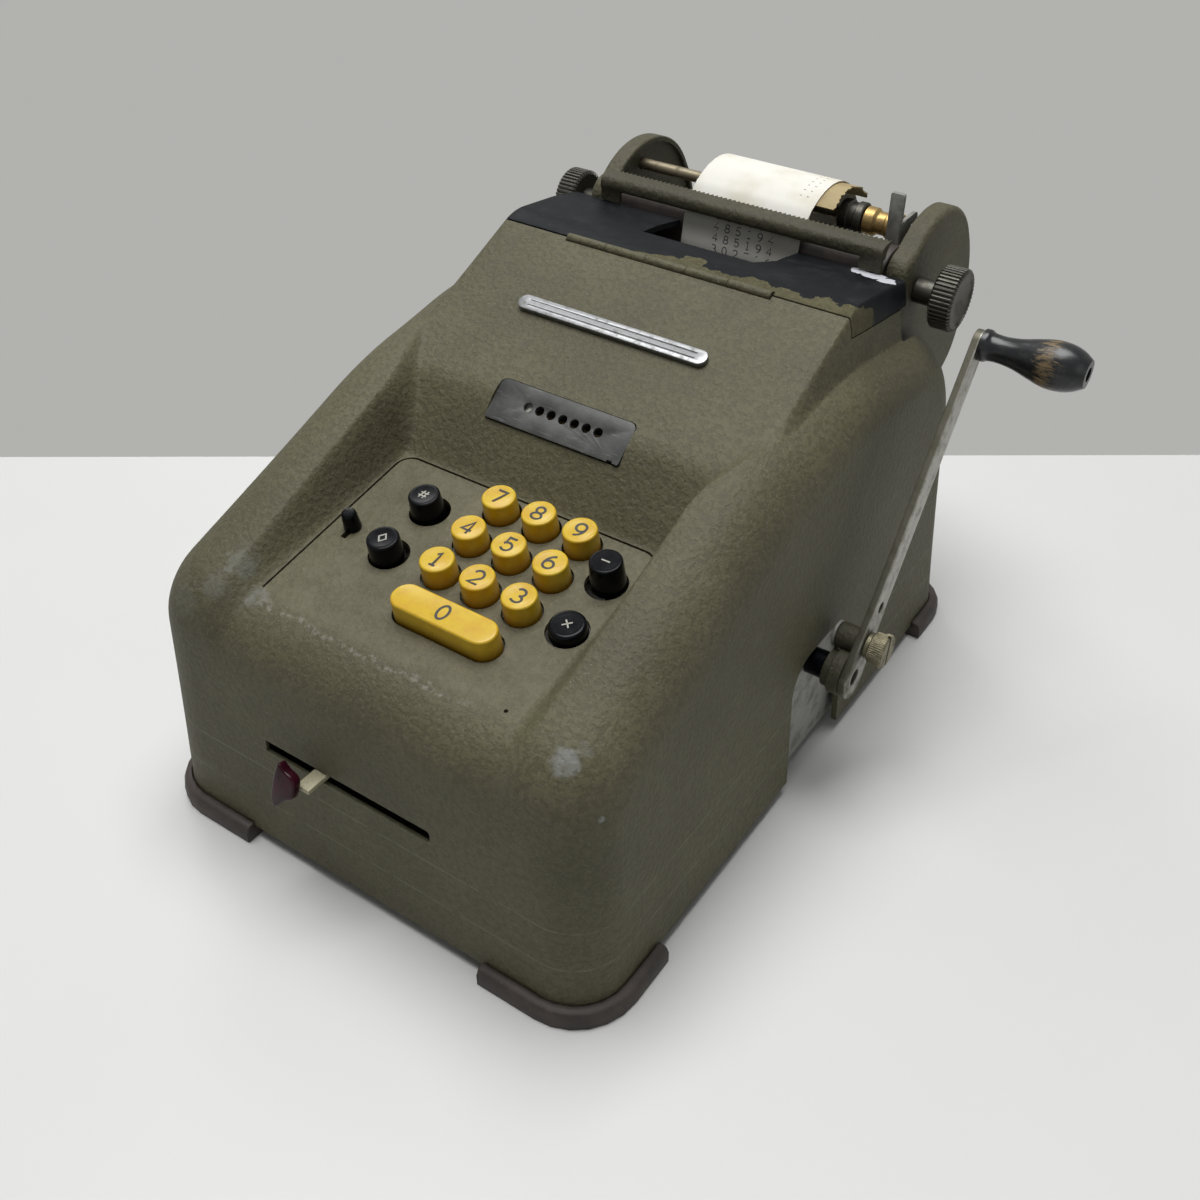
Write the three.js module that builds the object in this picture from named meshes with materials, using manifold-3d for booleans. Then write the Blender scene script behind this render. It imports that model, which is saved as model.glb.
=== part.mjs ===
// Hand-cranked ten-key printing adding machine, in millimetres.
// X runs to the crank side, Y runs from the front to the rear, Z runs up from the table.
// Every piece is placed in the machine's own frame: X = 0 on the middle of the keyboard, Y = 0 at the
// foot of the front wall, Z = 0 on the table. At the end the origin moves under the middle of the box.
import * as THREE from 'three';
import { mergeVertices } from 'three/addons/utils/BufferGeometryUtils.js';
import Module from 'manifold-3d';

const wasm = await Module();
wasm.setup();

// Fits
const gap = 0.3;
const runningFit = 0.4;

// Case
const caseWidth = 217;
const caseBottom = 6;
const caseWall = 2.6;
const caseDepth = 306;
const caseFrontTop = 112.6;
const caseFrontLean = 6.8;
const wallLean = 0.0454;
const leftWallOut = 2.4;
const frontCornerRadius = 22;
const shoulderRadius = 25;
const rearCornerRadius = 16;
const shoulderBend = { y: 128, z: 160 };
const shoulderPeak = { y: caseDepth - 106, z: 172 };
const shoulderRear = { y: caseDepth - 14, z: 156 };
const cheekFoot = 61.8;
const cheekTop = 73;
const stepTop = 82;
const stepFoot = 87.4;
const blendFrontY = 112;
const blendRearY = 165;

// Keyboard deck
const deckSlope = THREE.MathUtils.degToRad(9.88);
const deckOrigin = { y: 66.4, z: 118.46 };
const deckFrontS = -42.5;
const deckRearS = 46.7;
const deckHalfWidth = 61.4;
const deckThickness = 2;
const deckCornerRadius = 6;
const keyPitch = 19.05;
const keyGridX = 13.6;
const keyHeight = 8.9;
const keyTopRadius = 6.75;
const keyBaseRadius = 7.05;
const keyHoleRadius = 7.9;
const keySink = 1.4;
const keyEdgeRound = 0.9;
const zeroKey = { x: 13.8, s: -20, length: 47.2, width: 13 };
const stemWidth = 4;
const stemDepth = 2.4;
const stemBottom = -27;
const guideTop = -18;
const guideThickness = 2;
const guideClearance = 0.5;
const capTravel = 5;
const functionKeys = [
  {
    name: 'key_non_add',
    x: -32, s: 24.9, top: 6.3, base: 6.9, height: 9.2,
    hole: 8.4, holeX: -31.4, holeS: 25.2,
  },
  {
    name: 'key_sub_total',
    x: -30.6, s: -1.5, top: 6.4, base: 6.9, height: 9.3,
    hole: 8.3, holeX: -30.4, holeS: -0.9,
  },
  {
    name: 'key_subtract',
    x: 52.1, s: 27.1, top: 6.3, base: 6.9, height: 11.8,
    hole: 8.3, holeX: 51.6, holeS: 26.4,
  },
  {
    name: 'key_repeat',
    x: 52.7, s: 0.6, top: 6.8, base: 7.3, height: 4.2,
    hole: 8.3, holeX: 52.3, holeS: 0.5,
  },
];
const deckLever = { x: -52.6, s: 3.4, slotWidth: 2.6, slotFront: -2.9, slotRear: 5 };

// Display window and the bare bar in front of the lid
const windowCentre = { y: 135.5, z: 152.6 };
const windowTilt = THREE.MathUtils.degToRad(38.5);
const windowWidth = 64;
const windowHeight = 17.8;
const windowThickness = 1.6;
const windowHoles = 7;
const windowHolePitch = 5.55;
const windowHoleRadius = 2;
const windowFirstHoleX = -15.3;
const pointerStripY = 136.4;
const panelFront = { y: 135.1, z: 155.2 };
const panelRear = { y: caseDepth - 96.1, z: 188.5 };
const panelSlope = (panelRear.z - panelFront.z) / (panelRear.y - panelFront.y);
const trimCentre = { x: -3, y: panelRear.y - 34.9 };
const trimLength = 90;
const trimWidth = 7;
const trimThickness = 2.2;

// Lid and its hinge
const hingeY = panelRear.y + 0.7;
const hingeZ = panelRear.z;
const hingeRadius = 1.9;
const hingeHalfLength = 48.9;
const lidRearY = caseDepth - 43.5;
const lidFrontBend = { y: hingeY + 5.4, radius: 25 };
const lidRearBend = { y: lidRearY - 17.5, z: hingeZ - 1, radius: 60 };
const lidSkirtFrontZ = 180.7;
const lidSkirtRearZ = 173;
const notchFrontY = lidRearY - 30.5;
const notchClearance = 1.4;
const notchCut = { x: 6, y: 9 };
const wellHalfWidth = 88;
const wellFrontY = lidRearY - 5.5;
const rearOpeningZ = 104;
const cutTopZ = 240;

// Carriage
const carriageX = 3;
const bracketOuter = 79;
const bracketThickness = 9.4;
const bracketWeb = 7;
const bracketRim = 2.2;
const bracketDome = 3;
const bracketFrontY = lidRearY + 1.7;
const bracketFootZ = 131;
const bracketRearY = caseDepth + 39;
const bracketCrown = { y: caseDepth - 6, z: 160, radius: 40 };
const bracketLobeZ = 108;
const platenAxis = { y: caseDepth - 28.5, z: 174 };
const platenRadius = 15.2;
const platenShaftRadius = 3.2;
const knobRadius = 13.2;
const knobThickness = 10;
const knobOuterX = 99.5;
const knobBossRadius = 5.4;
const knobRibs = 24;
const spindleAxis = { y: caseDepth - 8, z: 189 };
const spindleRadius = 2.6;
const rodArmInset = 4.8;
const paperCentreX = 4.5;
const paperWidth = 57;
const paperThickness = 0.4;
const archCentre = { y: caseDepth - 15.4, z: 172 };
const archRadius = 31.6;
const barFrontY = lidRearY - 3.1;
const barRearY = barFrontY + 9;
const barBottomZ = 190;
const barTopZ = 196.4;
const barLegWidth = 10;
const barLegBottomZ = 185.1;

// Crank
const crankAxis = { y: 167, z: 58.2 };
const crankShaftRadius = 3.6;
const collarWall = 2;
const crankLean = THREE.MathUtils.degToRad(35.2);
const crankReach = 141;
const hubInnerX = caseWidth / 2 + 2.7;
const hubStep = 3.4;
const armInnerX = hubInnerX + 8.8;
const armThickness = 3.2;
const armPivotRadius = 9.6;
const armTipRadius = 5.6;
const clampReach = 14.4;
const clampRadius = 7.4;
const clampNeckRadius = 5.6;
const clampNeckLength = 1.8;
const clampEarRadius = 5.6;
const clampShankRadius = 3;
const holeReach = 30.4;
const handleLength = 42;
const handlePinRadius = 2.6;
const archFrontY = crankAxis.y - 21;
const archRearY = crankAxis.y + 25;
const archTopZ = 67;
const archCorner = 15;

// Base and feet
const footProud = 5;
const footHeight = 5.7;
const footRim = 2.6;
const footLengthX = 53.5;
const footFrontReachY = 44.5;
const footRearReachY = 34;
const plateThickness = 2;

// Inner works
const frameX = 80;
const frameThickness = 2;
const frameTopZ = 127.7;
const frameFrontY = 20;
const frameRearY = caseDepth - 20;
const railAxis = { y: 112, z: 66 };
const railRadius = 3;
const sectorAxis = { y: caseDepth - 70, z: 112 };
const sectorShaftRadius = 4;
const sectorReach = 62;
const sectorRestLean = THREE.MathUtils.degToRad(8);
const sectorCount = 7;
const sectorPitch = 4.2;
const pinionAxis = { y: caseDepth - 106, z: 100 };
const pinionRadius = 8;
const pinionShaftRadius = 3;
const pinionCount = 7;
const spoolDeckZ = 146;
const spoolX = 52;
const spoolY = caseDepth - 69;
const spoolRadius = 17;

// Front lever
const slot = { x0: -45.8, x1: 36.2, z0: 55.4, z1: 60.9 };
const leverDrop = 0.7;
const leverThickness = 2.2;
const leverX = -17;
const leverReach = 6.2;
const leverKnobLean = THREE.MathUtils.degToRad(10);

const paints = {
  crinkle: new THREE.MeshStandardMaterial({ color: 0x4a4738, roughness: 0.85, metalness: 0.1 }),
  coating: new THREE.MeshStandardMaterial({ color: 0x2c2f36, roughness: 0.5, metalness: 0.1 }),
  amber: new THREE.MeshStandardMaterial({ color: 0xd9a520, roughness: 0.3, metalness: 0 }),
  black: new THREE.MeshStandardMaterial({ color: 0x15171c, roughness: 0.35, metalness: 0 }),
  grey: new THREE.MeshStandardMaterial({ color: 0x3b3d40, roughness: 0.6, metalness: 0.4 }),
  chrome: new THREE.MeshStandardMaterial({ color: 0xb9bbbf, roughness: 0.3, metalness: 1 }),
  steel: new THREE.MeshStandardMaterial({ color: 0x83827b, roughness: 0.45, metalness: 0.9 }),
  brass: new THREE.MeshStandardMaterial({ color: 0xa8894a, roughness: 0.4, metalness: 0.9 }),
  rubber: new THREE.MeshStandardMaterial({ color: 0x2b211d, roughness: 0.8, metalness: 0 }),
  paper: new THREE.MeshStandardMaterial({ color: 0xe9e6dc, roughness: 0.9, metalness: 0 }),
  kraft: new THREE.MeshStandardMaterial({ color: 0xb9a87a, roughness: 0.9, metalness: 0 }),
  maroon: new THREE.MeshStandardMaterial({ color: 0x3a0f1c, roughness: 0.25, metalness: 0 }),
  cream: new THREE.MeshStandardMaterial({ color: 0x9c977a, roughness: 0.6, metalness: 0.3 }),
  wood: new THREE.MeshStandardMaterial({ color: 0x1d1813, roughness: 0.4, metalness: 0 }),
};

// Geometry helpers

// One closed surface: shared corners merged, triangles without area left out, faces pointing out.
function closed(geometry) {
  geometry.deleteAttribute('normal');
  geometry.deleteAttribute('uv');
  const merged = mergeVertices(geometry, 1e-4);
  const corners = merged.index.array;
  const kept = [];
  for (let i = 0; i < corners.length; i += 3) {
    const [a, b, c] = corners.slice(i, i + 3);
    if (a !== b && b !== c && c !== a) kept.push(a, b, c);
  }
  if (signedVolume(merged.attributes.position, kept) < 0) kept.reverse();
  merged.setIndex(kept);
  return merged;
}

function signedVolume(position, corners) {
  const a = new THREE.Vector3();
  const b = new THREE.Vector3();
  const c = new THREE.Vector3();
  let volume = 0;
  for (let i = 0; i < corners.length; i += 3) {
    a.fromBufferAttribute(position, corners[i]);
    b.fromBufferAttribute(position, corners[i + 1]);
    c.fromBufferAttribute(position, corners[i + 2]);
    volume += a.dot(b.cross(c)) / 6;
  }
  return volume;
}

function solid(geometry) {
  const body = closed(geometry);
  const mesh = new wasm.Mesh({
    numProp: 3,
    vertProperties: new Float32Array(body.attributes.position.array),
    triVerts: new Uint32Array(body.index.array),
  });
  return new wasm.Manifold(mesh);
}

function geometryOf(body) {
  const mesh = body.getMesh();
  const geometry = new THREE.BufferGeometry();
  geometry.setAttribute('position', new THREE.BufferAttribute(new Float32Array(mesh.vertProperties), 3));
  geometry.setIndex(new THREE.BufferAttribute(new Uint32Array(mesh.triVerts), 1));
  return geometry;
}

function cut(body, ...tools) {
  return tools.reduce((left, tool) => left.subtract(solid(tool)), body);
}

function join(body, ...others) {
  return others.reduce((sum, other) => sum.add(solid(other)), body);
}

function block(x0, x1, y0, y1, z0, z1) {
  const box = new THREE.BoxGeometry(x1 - x0, y1 - y0, z1 - z0);
  return box.translate((x0 + x1) / 2, (y0 + y1) / 2, (z0 + z1) / 2);
}

// A round bar along X between two ends, about the axis { y, z }.
function rodX(radius, x0, x1, axis, sides = 24) {
  const rod = new THREE.CylinderGeometry(radius, radius, x1 - x0, sides);
  return rod.rotateZ(Math.PI / 2).translate((x0 + x1) / 2, axis.y, axis.z);
}

function rodZ(radius, z0, z1, x, y, sides = 24) {
  const rod = new THREE.CylinderGeometry(radius, radius, z1 - z0, sides);
  return rod.rotateX(Math.PI / 2).translate(x, y, (z0 + z1) / 2);
}

// A plate whose outline lies in the Y-Z plane, from x0 to x1.
function slabX(shape, x0, x1, steps = 8) {
  const slab = new THREE.ExtrudeGeometry(shape, { depth: x1 - x0, bevelEnabled: false, curveSegments: steps });
  slab.applyMatrix4(sideways);
  return slab.translate(x0, 0, 0);
}

// A plate whose outline lies in the X-Y plane, from z0 to z1.
function slabZ(shape, z0, z1, steps = 8) {
  const slab = new THREE.ExtrudeGeometry(shape, { depth: z1 - z0, bevelEnabled: false, curveSegments: steps });
  return slab.translate(0, 0, z0);
}

const sideways = new THREE.Matrix4().makeBasis(
  new THREE.Vector3(0, 1, 0),
  new THREE.Vector3(0, 0, 1),
  new THREE.Vector3(1, 0, 0),
);

// A turned piece along X from a profile of [distance along X, radius] pairs that ends on the axis twice.
function turnedX(profile, axis, sides = 28) {
  const points = profile.map(([along, radius]) => new THREE.Vector2(radius, along));
  const turned = new THREE.LatheGeometry(points, sides);
  return turned.rotateZ(-Math.PI / 2).translate(0, axis.y, axis.z);
}

function polygon(points) {
  return new THREE.Shape(points.map(([u, v]) => new THREE.Vector2(u, v)));
}

function roundedRectangle(u0, u1, v0, v1, radii) {
  const [r00, r10, r11, r01] = radii;
  const shape = new THREE.Shape();
  shape.moveTo(u0 + r00, v0);
  shape.lineTo(u1 - r10, v0);
  if (r10 > 0) shape.absarc(u1 - r10, v0 + r10, r10, -Math.PI / 2, 0);
  shape.lineTo(u1, v1 - r11);
  if (r11 > 0) shape.absarc(u1 - r11, v1 - r11, r11, 0, Math.PI / 2);
  shape.lineTo(u0 + r01, v1);
  if (r01 > 0) shape.absarc(u0 + r01, v1 - r01, r01, Math.PI / 2, Math.PI);
  shape.lineTo(u0, v0 + r00);
  if (r00 > 0) shape.absarc(u0 + r00, v0 + r00, r00, Math.PI, 1.5 * Math.PI);
  return shape;
}

function circleHole(u, v, radius) {
  const hole = new THREE.Path();
  hole.absarc(u, v, radius, 0, 2 * Math.PI, true);
  return hole;
}

// Points along a stretch of line whose corners are rounded, each corner given as [y, z, radius].
function roundedPath(corners, steps = 5) {
  const path = [new THREE.Vector2(corners[0][0], corners[0][1])];
  for (let i = 1; i < corners.length - 1; i += 1) {
    const corner = new THREE.Vector2(corners[i][0], corners[i][1]);
    const back = new THREE.Vector2(corners[i - 1][0], corners[i - 1][1]).sub(corner).normalize();
    const ahead = new THREE.Vector2(corners[i + 1][0], corners[i + 1][1]).sub(corner).normalize();
    const halfTurn = Math.acos(THREE.MathUtils.clamp(-back.dot(ahead), -1, 1)) / 2;
    const reach = corners[i][2] * Math.tan(halfTurn);
    const start = corner.clone().addScaledVector(back, reach);
    const end = corner.clone().addScaledVector(ahead, reach);
    const middle = start.clone().add(end).multiplyScalar(0.5).sub(corner).normalize();
    const centre = corner.clone().addScaledVector(middle, Math.hypot(reach, corners[i][2]));
    const from = Math.atan2(start.y - centre.y, start.x - centre.x);
    const turn = Math.atan2(end.y - centre.y, end.x - centre.x) - from;
    const sweep = Math.atan2(Math.sin(turn), Math.cos(turn));
    for (let k = 0; k <= steps; k += 1) {
      const angle = from + (sweep * k) / steps;
      const dy = corners[i][2] * Math.cos(angle);
      const dz = corners[i][2] * Math.sin(angle);
      path.push(new THREE.Vector2(centre.x + dy, centre.y + dz));
    }
  }
  const last = corners[corners.length - 1];
  path.push(new THREE.Vector2(last[0], last[1]));
  return path;
}

// The skin between rows of points that all have the same count. With rings the rows close on
// themselves, and the first and last row get flat ends about their own middles.
function skin(rows, rings) {
  const points = rows.flat();
  const width = rows[0].length;
  const corners = [];
  const across = rings ? width : width - 1;
  for (let i = 0; i < rows.length - 1; i += 1) {
    for (let j = 0; j < across; j += 1) {
      const a = i * width + j;
      const b = i * width + ((j + 1) % width);
      corners.push(a, b, a + width, b, b + width, a + width);
    }
  }
  for (const [start, flip] of [[0, true], [(rows.length - 1) * width, false]]) {
    const middle = new THREE.Vector3();
    for (let j = 0; j < width; j += 1) middle.addScaledVector(points[start + j], 1 / width);
    if (!rings) middle.copy(points[start]).add(points[start + width - 1]).multiplyScalar(0.5);
    points.push(middle);
    const hub = points.length - 1;
    for (let j = 0; j < across; j += 1) {
      const a = start + j;
      const b = start + ((j + 1) % width);
      corners.push(...(flip ? [b, a, hub] : [a, b, hub]));
    }
  }
  const geometry = new THREE.BufferGeometry().setFromPoints(points);
  geometry.setIndex(corners);
  return geometry;
}

const machine = new THREE.Group();

const deck = new THREE.Group();
deck.position.set(0, deckOrigin.y, deckOrigin.z);
deck.rotation.x = deckSlope;
machine.add(deck);

const windowFrame = new THREE.Group();
windowFrame.position.set(0, windowCentre.y, windowCentre.z);
windowFrame.rotation.x = windowTilt;
machine.add(windowFrame);

function place(name, body, paint, parent = machine) {
  const geometry = body.getMesh ? geometryOf(body) : closed(body);
  const mesh = new THREE.Mesh(geometry, paint);
  mesh.name = name;
  parent.add(mesh);
  return mesh;
}

// A geometry given in the frame of a tilted group, moved into the machine's frame.
function inMachine(geometry, group) {
  group.updateMatrix();
  return geometry.applyMatrix4(group.matrix);
}

// Case: the outer skin is worked out on half-planes that all pass through one line across the base.
// On each half-plane the skin is a row of distances from that line: the side walls, the rounded
// shoulder, the cheek or step, and the middle (deck, panel and lid).
const hubY = caseDepth / 2 - 3;

// Both side profiles run on a little below the bottom edge, so that every ray meets them.
const frontLean = caseFrontLean / (caseFrontTop - caseBottom);
const rearLean = (caseDepth - shoulderRear.y) / (shoulderRear.z - caseBottom);
const runOn = 10;
const frontFoot = [-frontLean * runOn, caseBottom - runOn];
const rearFoot = [caseDepth + rearLean * runOn, caseBottom - runOn];

const shoulderPath = roundedPath([
  frontFoot,
  [caseFrontLean, caseFrontTop, 28],
  [shoulderBend.y, shoulderBend.z, 200],
  [shoulderPeak.y, shoulderPeak.z, 150],
  [shoulderRear.y, shoulderRear.z, 40],
  rearFoot,
]);

function deckHeight(y) {
  return deckOrigin.z + (y - deckOrigin.y) * Math.tan(deckSlope);
}

function panelHeight(y) {
  return panelRear.z + (y - panelRear.y) * panelSlope;
}

const riseFootY = 113.8;
const middleFrontY = 6.5;
const middleRear = { y: shoulderRear.y - 1.5, z: 178, radius: 20 };
const middlePath = roundedPath([
  frontFoot,
  [middleFrontY, deckHeight(middleFrontY), 26],
  [riseFootY, deckHeight(riseFootY), 4],
  [panelFront.y, panelFront.z, 20],
  [lidFrontBend.y, panelHeight(lidFrontBend.y), lidFrontBend.radius],
  [lidRearBend.y, lidRearBend.z, lidRearBend.radius],
  [middleRear.y, middleRear.z, middleRear.radius],
  rearFoot,
]);

// Distance from the base line to the path along the ray at the given angle.
function reachOf(path, angle, baseZ) {
  const ray = new THREE.Vector2(-Math.cos(angle), Math.sin(angle));
  let best = 0;
  for (let i = 0; i < path.length - 1; i += 1) {
    const p = path[i].clone().sub(new THREE.Vector2(hubY, baseZ));
    const side = path[i + 1].clone().sub(path[i]);
    const spread = ray.x * side.y - ray.y * side.x;
    if (Math.abs(spread) < 1e-9) continue;
    const along = (p.x * side.y - p.y * side.x) / spread;
    const share = (p.x * ray.y - p.y * ray.x) / spread;
    if (share > -1e-6 && share < 1 + 1e-6 && along > best) best = along;
  }
  return best;
}

function caseHalfWidth(z) {
  return caseWidth / 2 - wallLean * (z - caseBottom);
}

function edgeRadius(angle) {
  const end = angle < Math.PI / 2 ? frontCornerRadius : rearCornerRadius;
  return THREE.MathUtils.lerp(end, shoulderRadius, Math.sin(angle));
}

function caseRow(angle, baseZ, inset, counts) {
  const shoulder = reachOf(shoulderPath, angle, baseZ) - inset;
  const middle = reachOf(middlePath, angle, baseZ) - inset;
  const radius = edgeRadius(angle) - inset;
  const crestY = hubY - shoulder * Math.cos(angle);
  const blend = THREE.MathUtils.smoothstep(crestY, blendFrontY, blendRearY);
  const lean = inset * THREE.MathUtils.clamp((shoulder - middle) / 6, -1, 1);
  const innerX = THREE.MathUtils.lerp(cheekFoot, stepTop, blend) + lean;
  const outerX = THREE.MathUtils.lerp(cheekTop, stepFoot, blend) + lean;
  const wallTop = shoulder - radius;
  const halfAt = (reach) => caseHalfWidth(baseZ + reach * Math.sin(angle)) - inset;
  const roundX = halfAt(wallTop) - radius;
  const crownAt = (x) => shoulder - (x > roundX ? radius - Math.sqrt(radius ** 2 - (x - roundX) ** 2) : 0);
  const half = [];
  for (let k = 0; k < counts.wall; k += 1) {
    const reach = (wallTop * k) / counts.wall;
    half.push([halfAt(reach), reach]);
  }
  const endTurn = outerX > roundX ? Math.acos((outerX - roundX) / radius) : Math.PI / 2;
  for (let k = 0; k < counts.round; k += 1) {
    const turn = (endTurn * k) / counts.round;
    half.push([roundX + radius * Math.cos(turn), wallTop + radius * Math.sin(turn)]);
  }
  if (outerX > roundX) half.push([(roundX + radius * Math.cos(endTurn * 0.98)), crownAt(outerX)]);
  else half.push([roundX, shoulder]);
  for (let k = 0; k <= counts.cheek; k += 1) {
    const share = k / counts.cheek;
    const x = THREE.MathUtils.lerp(outerX, innerX, share);
    const rise = THREE.MathUtils.smoothstep(share, 0, 1);
    half.push([x, THREE.MathUtils.lerp(crownAt(x), middle, rise)]);
  }
  half.push([innerX / 2, middle], [0, middle]);
  const other = half.slice(0, -1).reverse();
  const leftOut = (x) => leftWallOut * THREE.MathUtils.smoothstep(x, outerX, roundX + radius);
  const point = ([x, reach], side) => new THREE.Vector3(
    side > 0 ? x : -x - leftOut(x),
    hubY - reach * Math.cos(angle),
    baseZ + reach * Math.sin(angle),
  );
  return [...half.map((p) => point(p, 1)), ...other.map((p) => point(p, -1))];
}

// The angles at which rows are worked out: the corners of both paths, thinned and filled evenly.
function rowAngles(baseZ, closest, widest) {
  const corners = [...shoulderPath, ...middlePath]
    .map((p) => Math.atan2(p.y - baseZ, hubY - p.x))
    .filter((angle) => angle > 0.01 && angle < Math.PI - 0.01)
    .sort((a, b) => a - b);
  const angles = [0];
  for (const angle of [...corners, Math.PI]) {
    const last = angles[angles.length - 1];
    const filled = Math.ceil((angle - last) / widest);
    if (angle !== Math.PI && angle - last < closest) continue;
    for (let k = 1; k <= filled; k += 1) angles.push(last + ((angle - last) * k) / filled);
  }
  return angles;
}

function caseSkin(baseZ, inset, counts, closest, widest) {
  const rows = rowAngles(baseZ, closest, widest).map((angle) => caseRow(angle, baseZ, inset, counts));
  return solid(skin(rows, false));
}

const outerSkin = caseSkin(caseBottom, 0, { wall: 1, round: 5, cheek: 5 }, 0.026, 0.14);
const innerSkin = caseSkin(caseBottom - 1, caseWall, { wall: 1, round: 3, cheek: 4 }, 0.05, 0.2);
const caseShell = outerSkin.subtract(innerSkin);

const hingeAxis = { y: hingeY, z: hingeZ };
const hingeChannel = () => {
  const reach = hingeHalfLength + runningFit;
  return rodX(hingeRadius + runningFit, -reach, reach, hingeAxis, 16);
};

function deckOutline(extra) {
  const radius = deckCornerRadius + extra;
  const side = deckHalfWidth + extra;
  return roundedRectangle(-side, side, deckFrontS - extra, deckRearS + extra, [1, 1, radius, radius]);
}

function windowOutline(extra) {
  const u = windowWidth / 2 + extra;
  const v = windowHeight / 2 + extra;
  return roundedRectangle(-u, u, -v, v, [0.8, 0.8, 3, 3]);
}

function crankArch() {
  const shape = new THREE.Shape();
  shape.moveTo(archFrontY, caseBottom - 4);
  shape.lineTo(archRearY, caseBottom - 4);
  shape.lineTo(archRearY, archTopZ - archCorner);
  shape.absarc(archRearY - archCorner, archTopZ - archCorner, archCorner, 0, Math.PI / 2);
  shape.lineTo(archFrontY + archCorner, archTopZ);
  shape.absarc(archFrontY + archCorner, archTopZ - archCorner, archCorner, Math.PI / 2, Math.PI);
  return shape;
}

// Everything above the seam of the lid, which runs down to the rear; lift moves the seam up.
function lidZone(frontY, rearY, lift) {
  const slope = (lidSkirtRearZ - lidSkirtFrontZ) / (lidRearY - hingeY);
  const seamAt = (y) => lidSkirtFrontZ + (y - hingeY) * slope + lift;
  const zone = polygon([[frontY, seamAt(frontY)], [rearY, seamAt(rearY)], [rearY, cutTopZ], [frontY, cutTopZ]]);
  return slabX(zone, -caseWidth / 2, caseWidth / 2);
}

function caseCover() {
  const half = caseWidth / 2;
  return cut(
    caseShell,
    inMachine(slabZ(deckOutline(gap), -8, 4), deck),
    inMachine(slabZ(windowOutline(gap), -9, 8), windowFrame),
    block(slot.x0, slot.x1, -2, 8, slot.z0, slot.z1),
    slabX(crankArch(), half - 14, half + 4),
    lidZone(hingeY - runningFit, caseDepth + 20, -gap),
    block(-wellHalfWidth, wellHalfWidth, wellFrontY, caseDepth + 20, rearOpeningZ, cutTopZ),
    hingeChannel(),
  );
}

// Lid: the part of the case's own skin behind the hinge, with the notch that lets the paper out.
function rearLid() {
  const keep = solid(lidZone(hingeY + runningFit, lidRearY, gap));
  const side = paperWidth / 2 + notchClearance;
  const notch = polygon([
    [paperCentreX - side, notchFrontY],
    [paperCentreX + side - notchCut.x, notchFrontY],
    [paperCentreX + side, notchFrontY + notchCut.y],
    [paperCentreX + side, lidRearY + 5],
    [paperCentreX - side, lidRearY + 5],
  ]);
  return cut(caseShell.intersect(keep), slabZ(notch, lidSkirtRearZ - 5, cutTopZ), hingeChannel());
}

place('case_cover', caseCover(), paints.crinkle);
place('rear_lid', rearLid(), paints.coating);
place('hinge_pin', rodX(hingeRadius, -hingeHalfLength, hingeHalfLength, hingeAxis, 16), paints.crinkle);

// Keyboard deck, with a hole for each key and a slot for the small lever.
const digitKeys = [];
for (let digit = 1; digit <= 9; digit += 1) {
  const column = (digit - 1) % 3;
  const row = Math.floor((digit - 1) / 3);
  const x = keyGridX + (column - 1) * keyPitch;
  const s = row * keyPitch;
  digitKeys.push({
    name: `key_${digit}`,
    x,
    s,
    top: keyTopRadius,
    base: keyBaseRadius,
    height: keyHeight,
    hole: keyHoleRadius,
    holeX: x,
    holeS: s,
  });
}
const roundKeys = [...digitKeys, ...functionKeys];

function stadium(length, width, x, y) {
  const shape = new THREE.Shape();
  const radius = width / 2;
  const reach = length / 2 - radius;
  shape.absarc(x + reach, y, radius, -Math.PI / 2, Math.PI / 2);
  shape.absarc(x - reach, y, radius, Math.PI / 2, 1.5 * Math.PI);
  shape.closePath();
  return shape;
}

function keyboardPlate() {
  const around = keyHoleRadius - keyBaseRadius;
  const { x, s, length, width } = zeroKey;
  const halfSlot = deckLever.slotWidth / 2;
  return cut(
    solid(slabZ(deckOutline(0), -deckThickness, 0, 4)),
    ...roundKeys.map((key) => rodZ(key.hole, -5, 5, key.holeX, key.holeS, 22)),
    slabZ(stadium(length + 2 * around, width + 2 * around, x, s), -5, 5, 10),
    block(deckLever.x - halfSlot, deckLever.x + halfSlot, deckLever.slotFront, deckLever.slotRear, -5, 5),
  );
}

// Key caps on flat stems. The stems pass through the guide below the deck.
function roundKey(key) {
  const profile = [
    [0, -keySink],
    [key.base, -keySink],
    [key.base, 0],
    [key.top, key.height - keyEdgeRound],
    [key.top - keyEdgeRound, key.height],
    [0, key.height - 0.25],
  ].map(([radius, height]) => new THREE.Vector2(radius, height));
  const cap = new THREE.LatheGeometry(profile, 18).rotateX(Math.PI / 2).translate(key.x, key.s, 0);
  return join(solid(cap), stemAt(key.x, key.s));
}

function stemAt(x, s) {
  return block(x - stemWidth / 2, x + stemWidth / 2, s - stemDepth / 2, s + stemDepth / 2, stemBottom, 0);
}

function barKey() {
  const { x, s, length, width } = zeroKey;
  const cap = new THREE.ExtrudeGeometry(stadium(length - 2 * keyEdgeRound, width - 2 * keyEdgeRound, x, s), {
    depth: keyHeight + keySink - 2 * keyEdgeRound,
    bevelSize: keyEdgeRound,
    bevelThickness: keyEdgeRound,
    bevelSegments: 1,
    curveSegments: 8,
  });
  cap.translate(0, 0, -keySink + keyEdgeRound);
  const stemReach = length / 2 - width / 2;
  return join(solid(cap), stemAt(x - stemReach, s), stemAt(x + stemReach, s));
}

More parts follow.
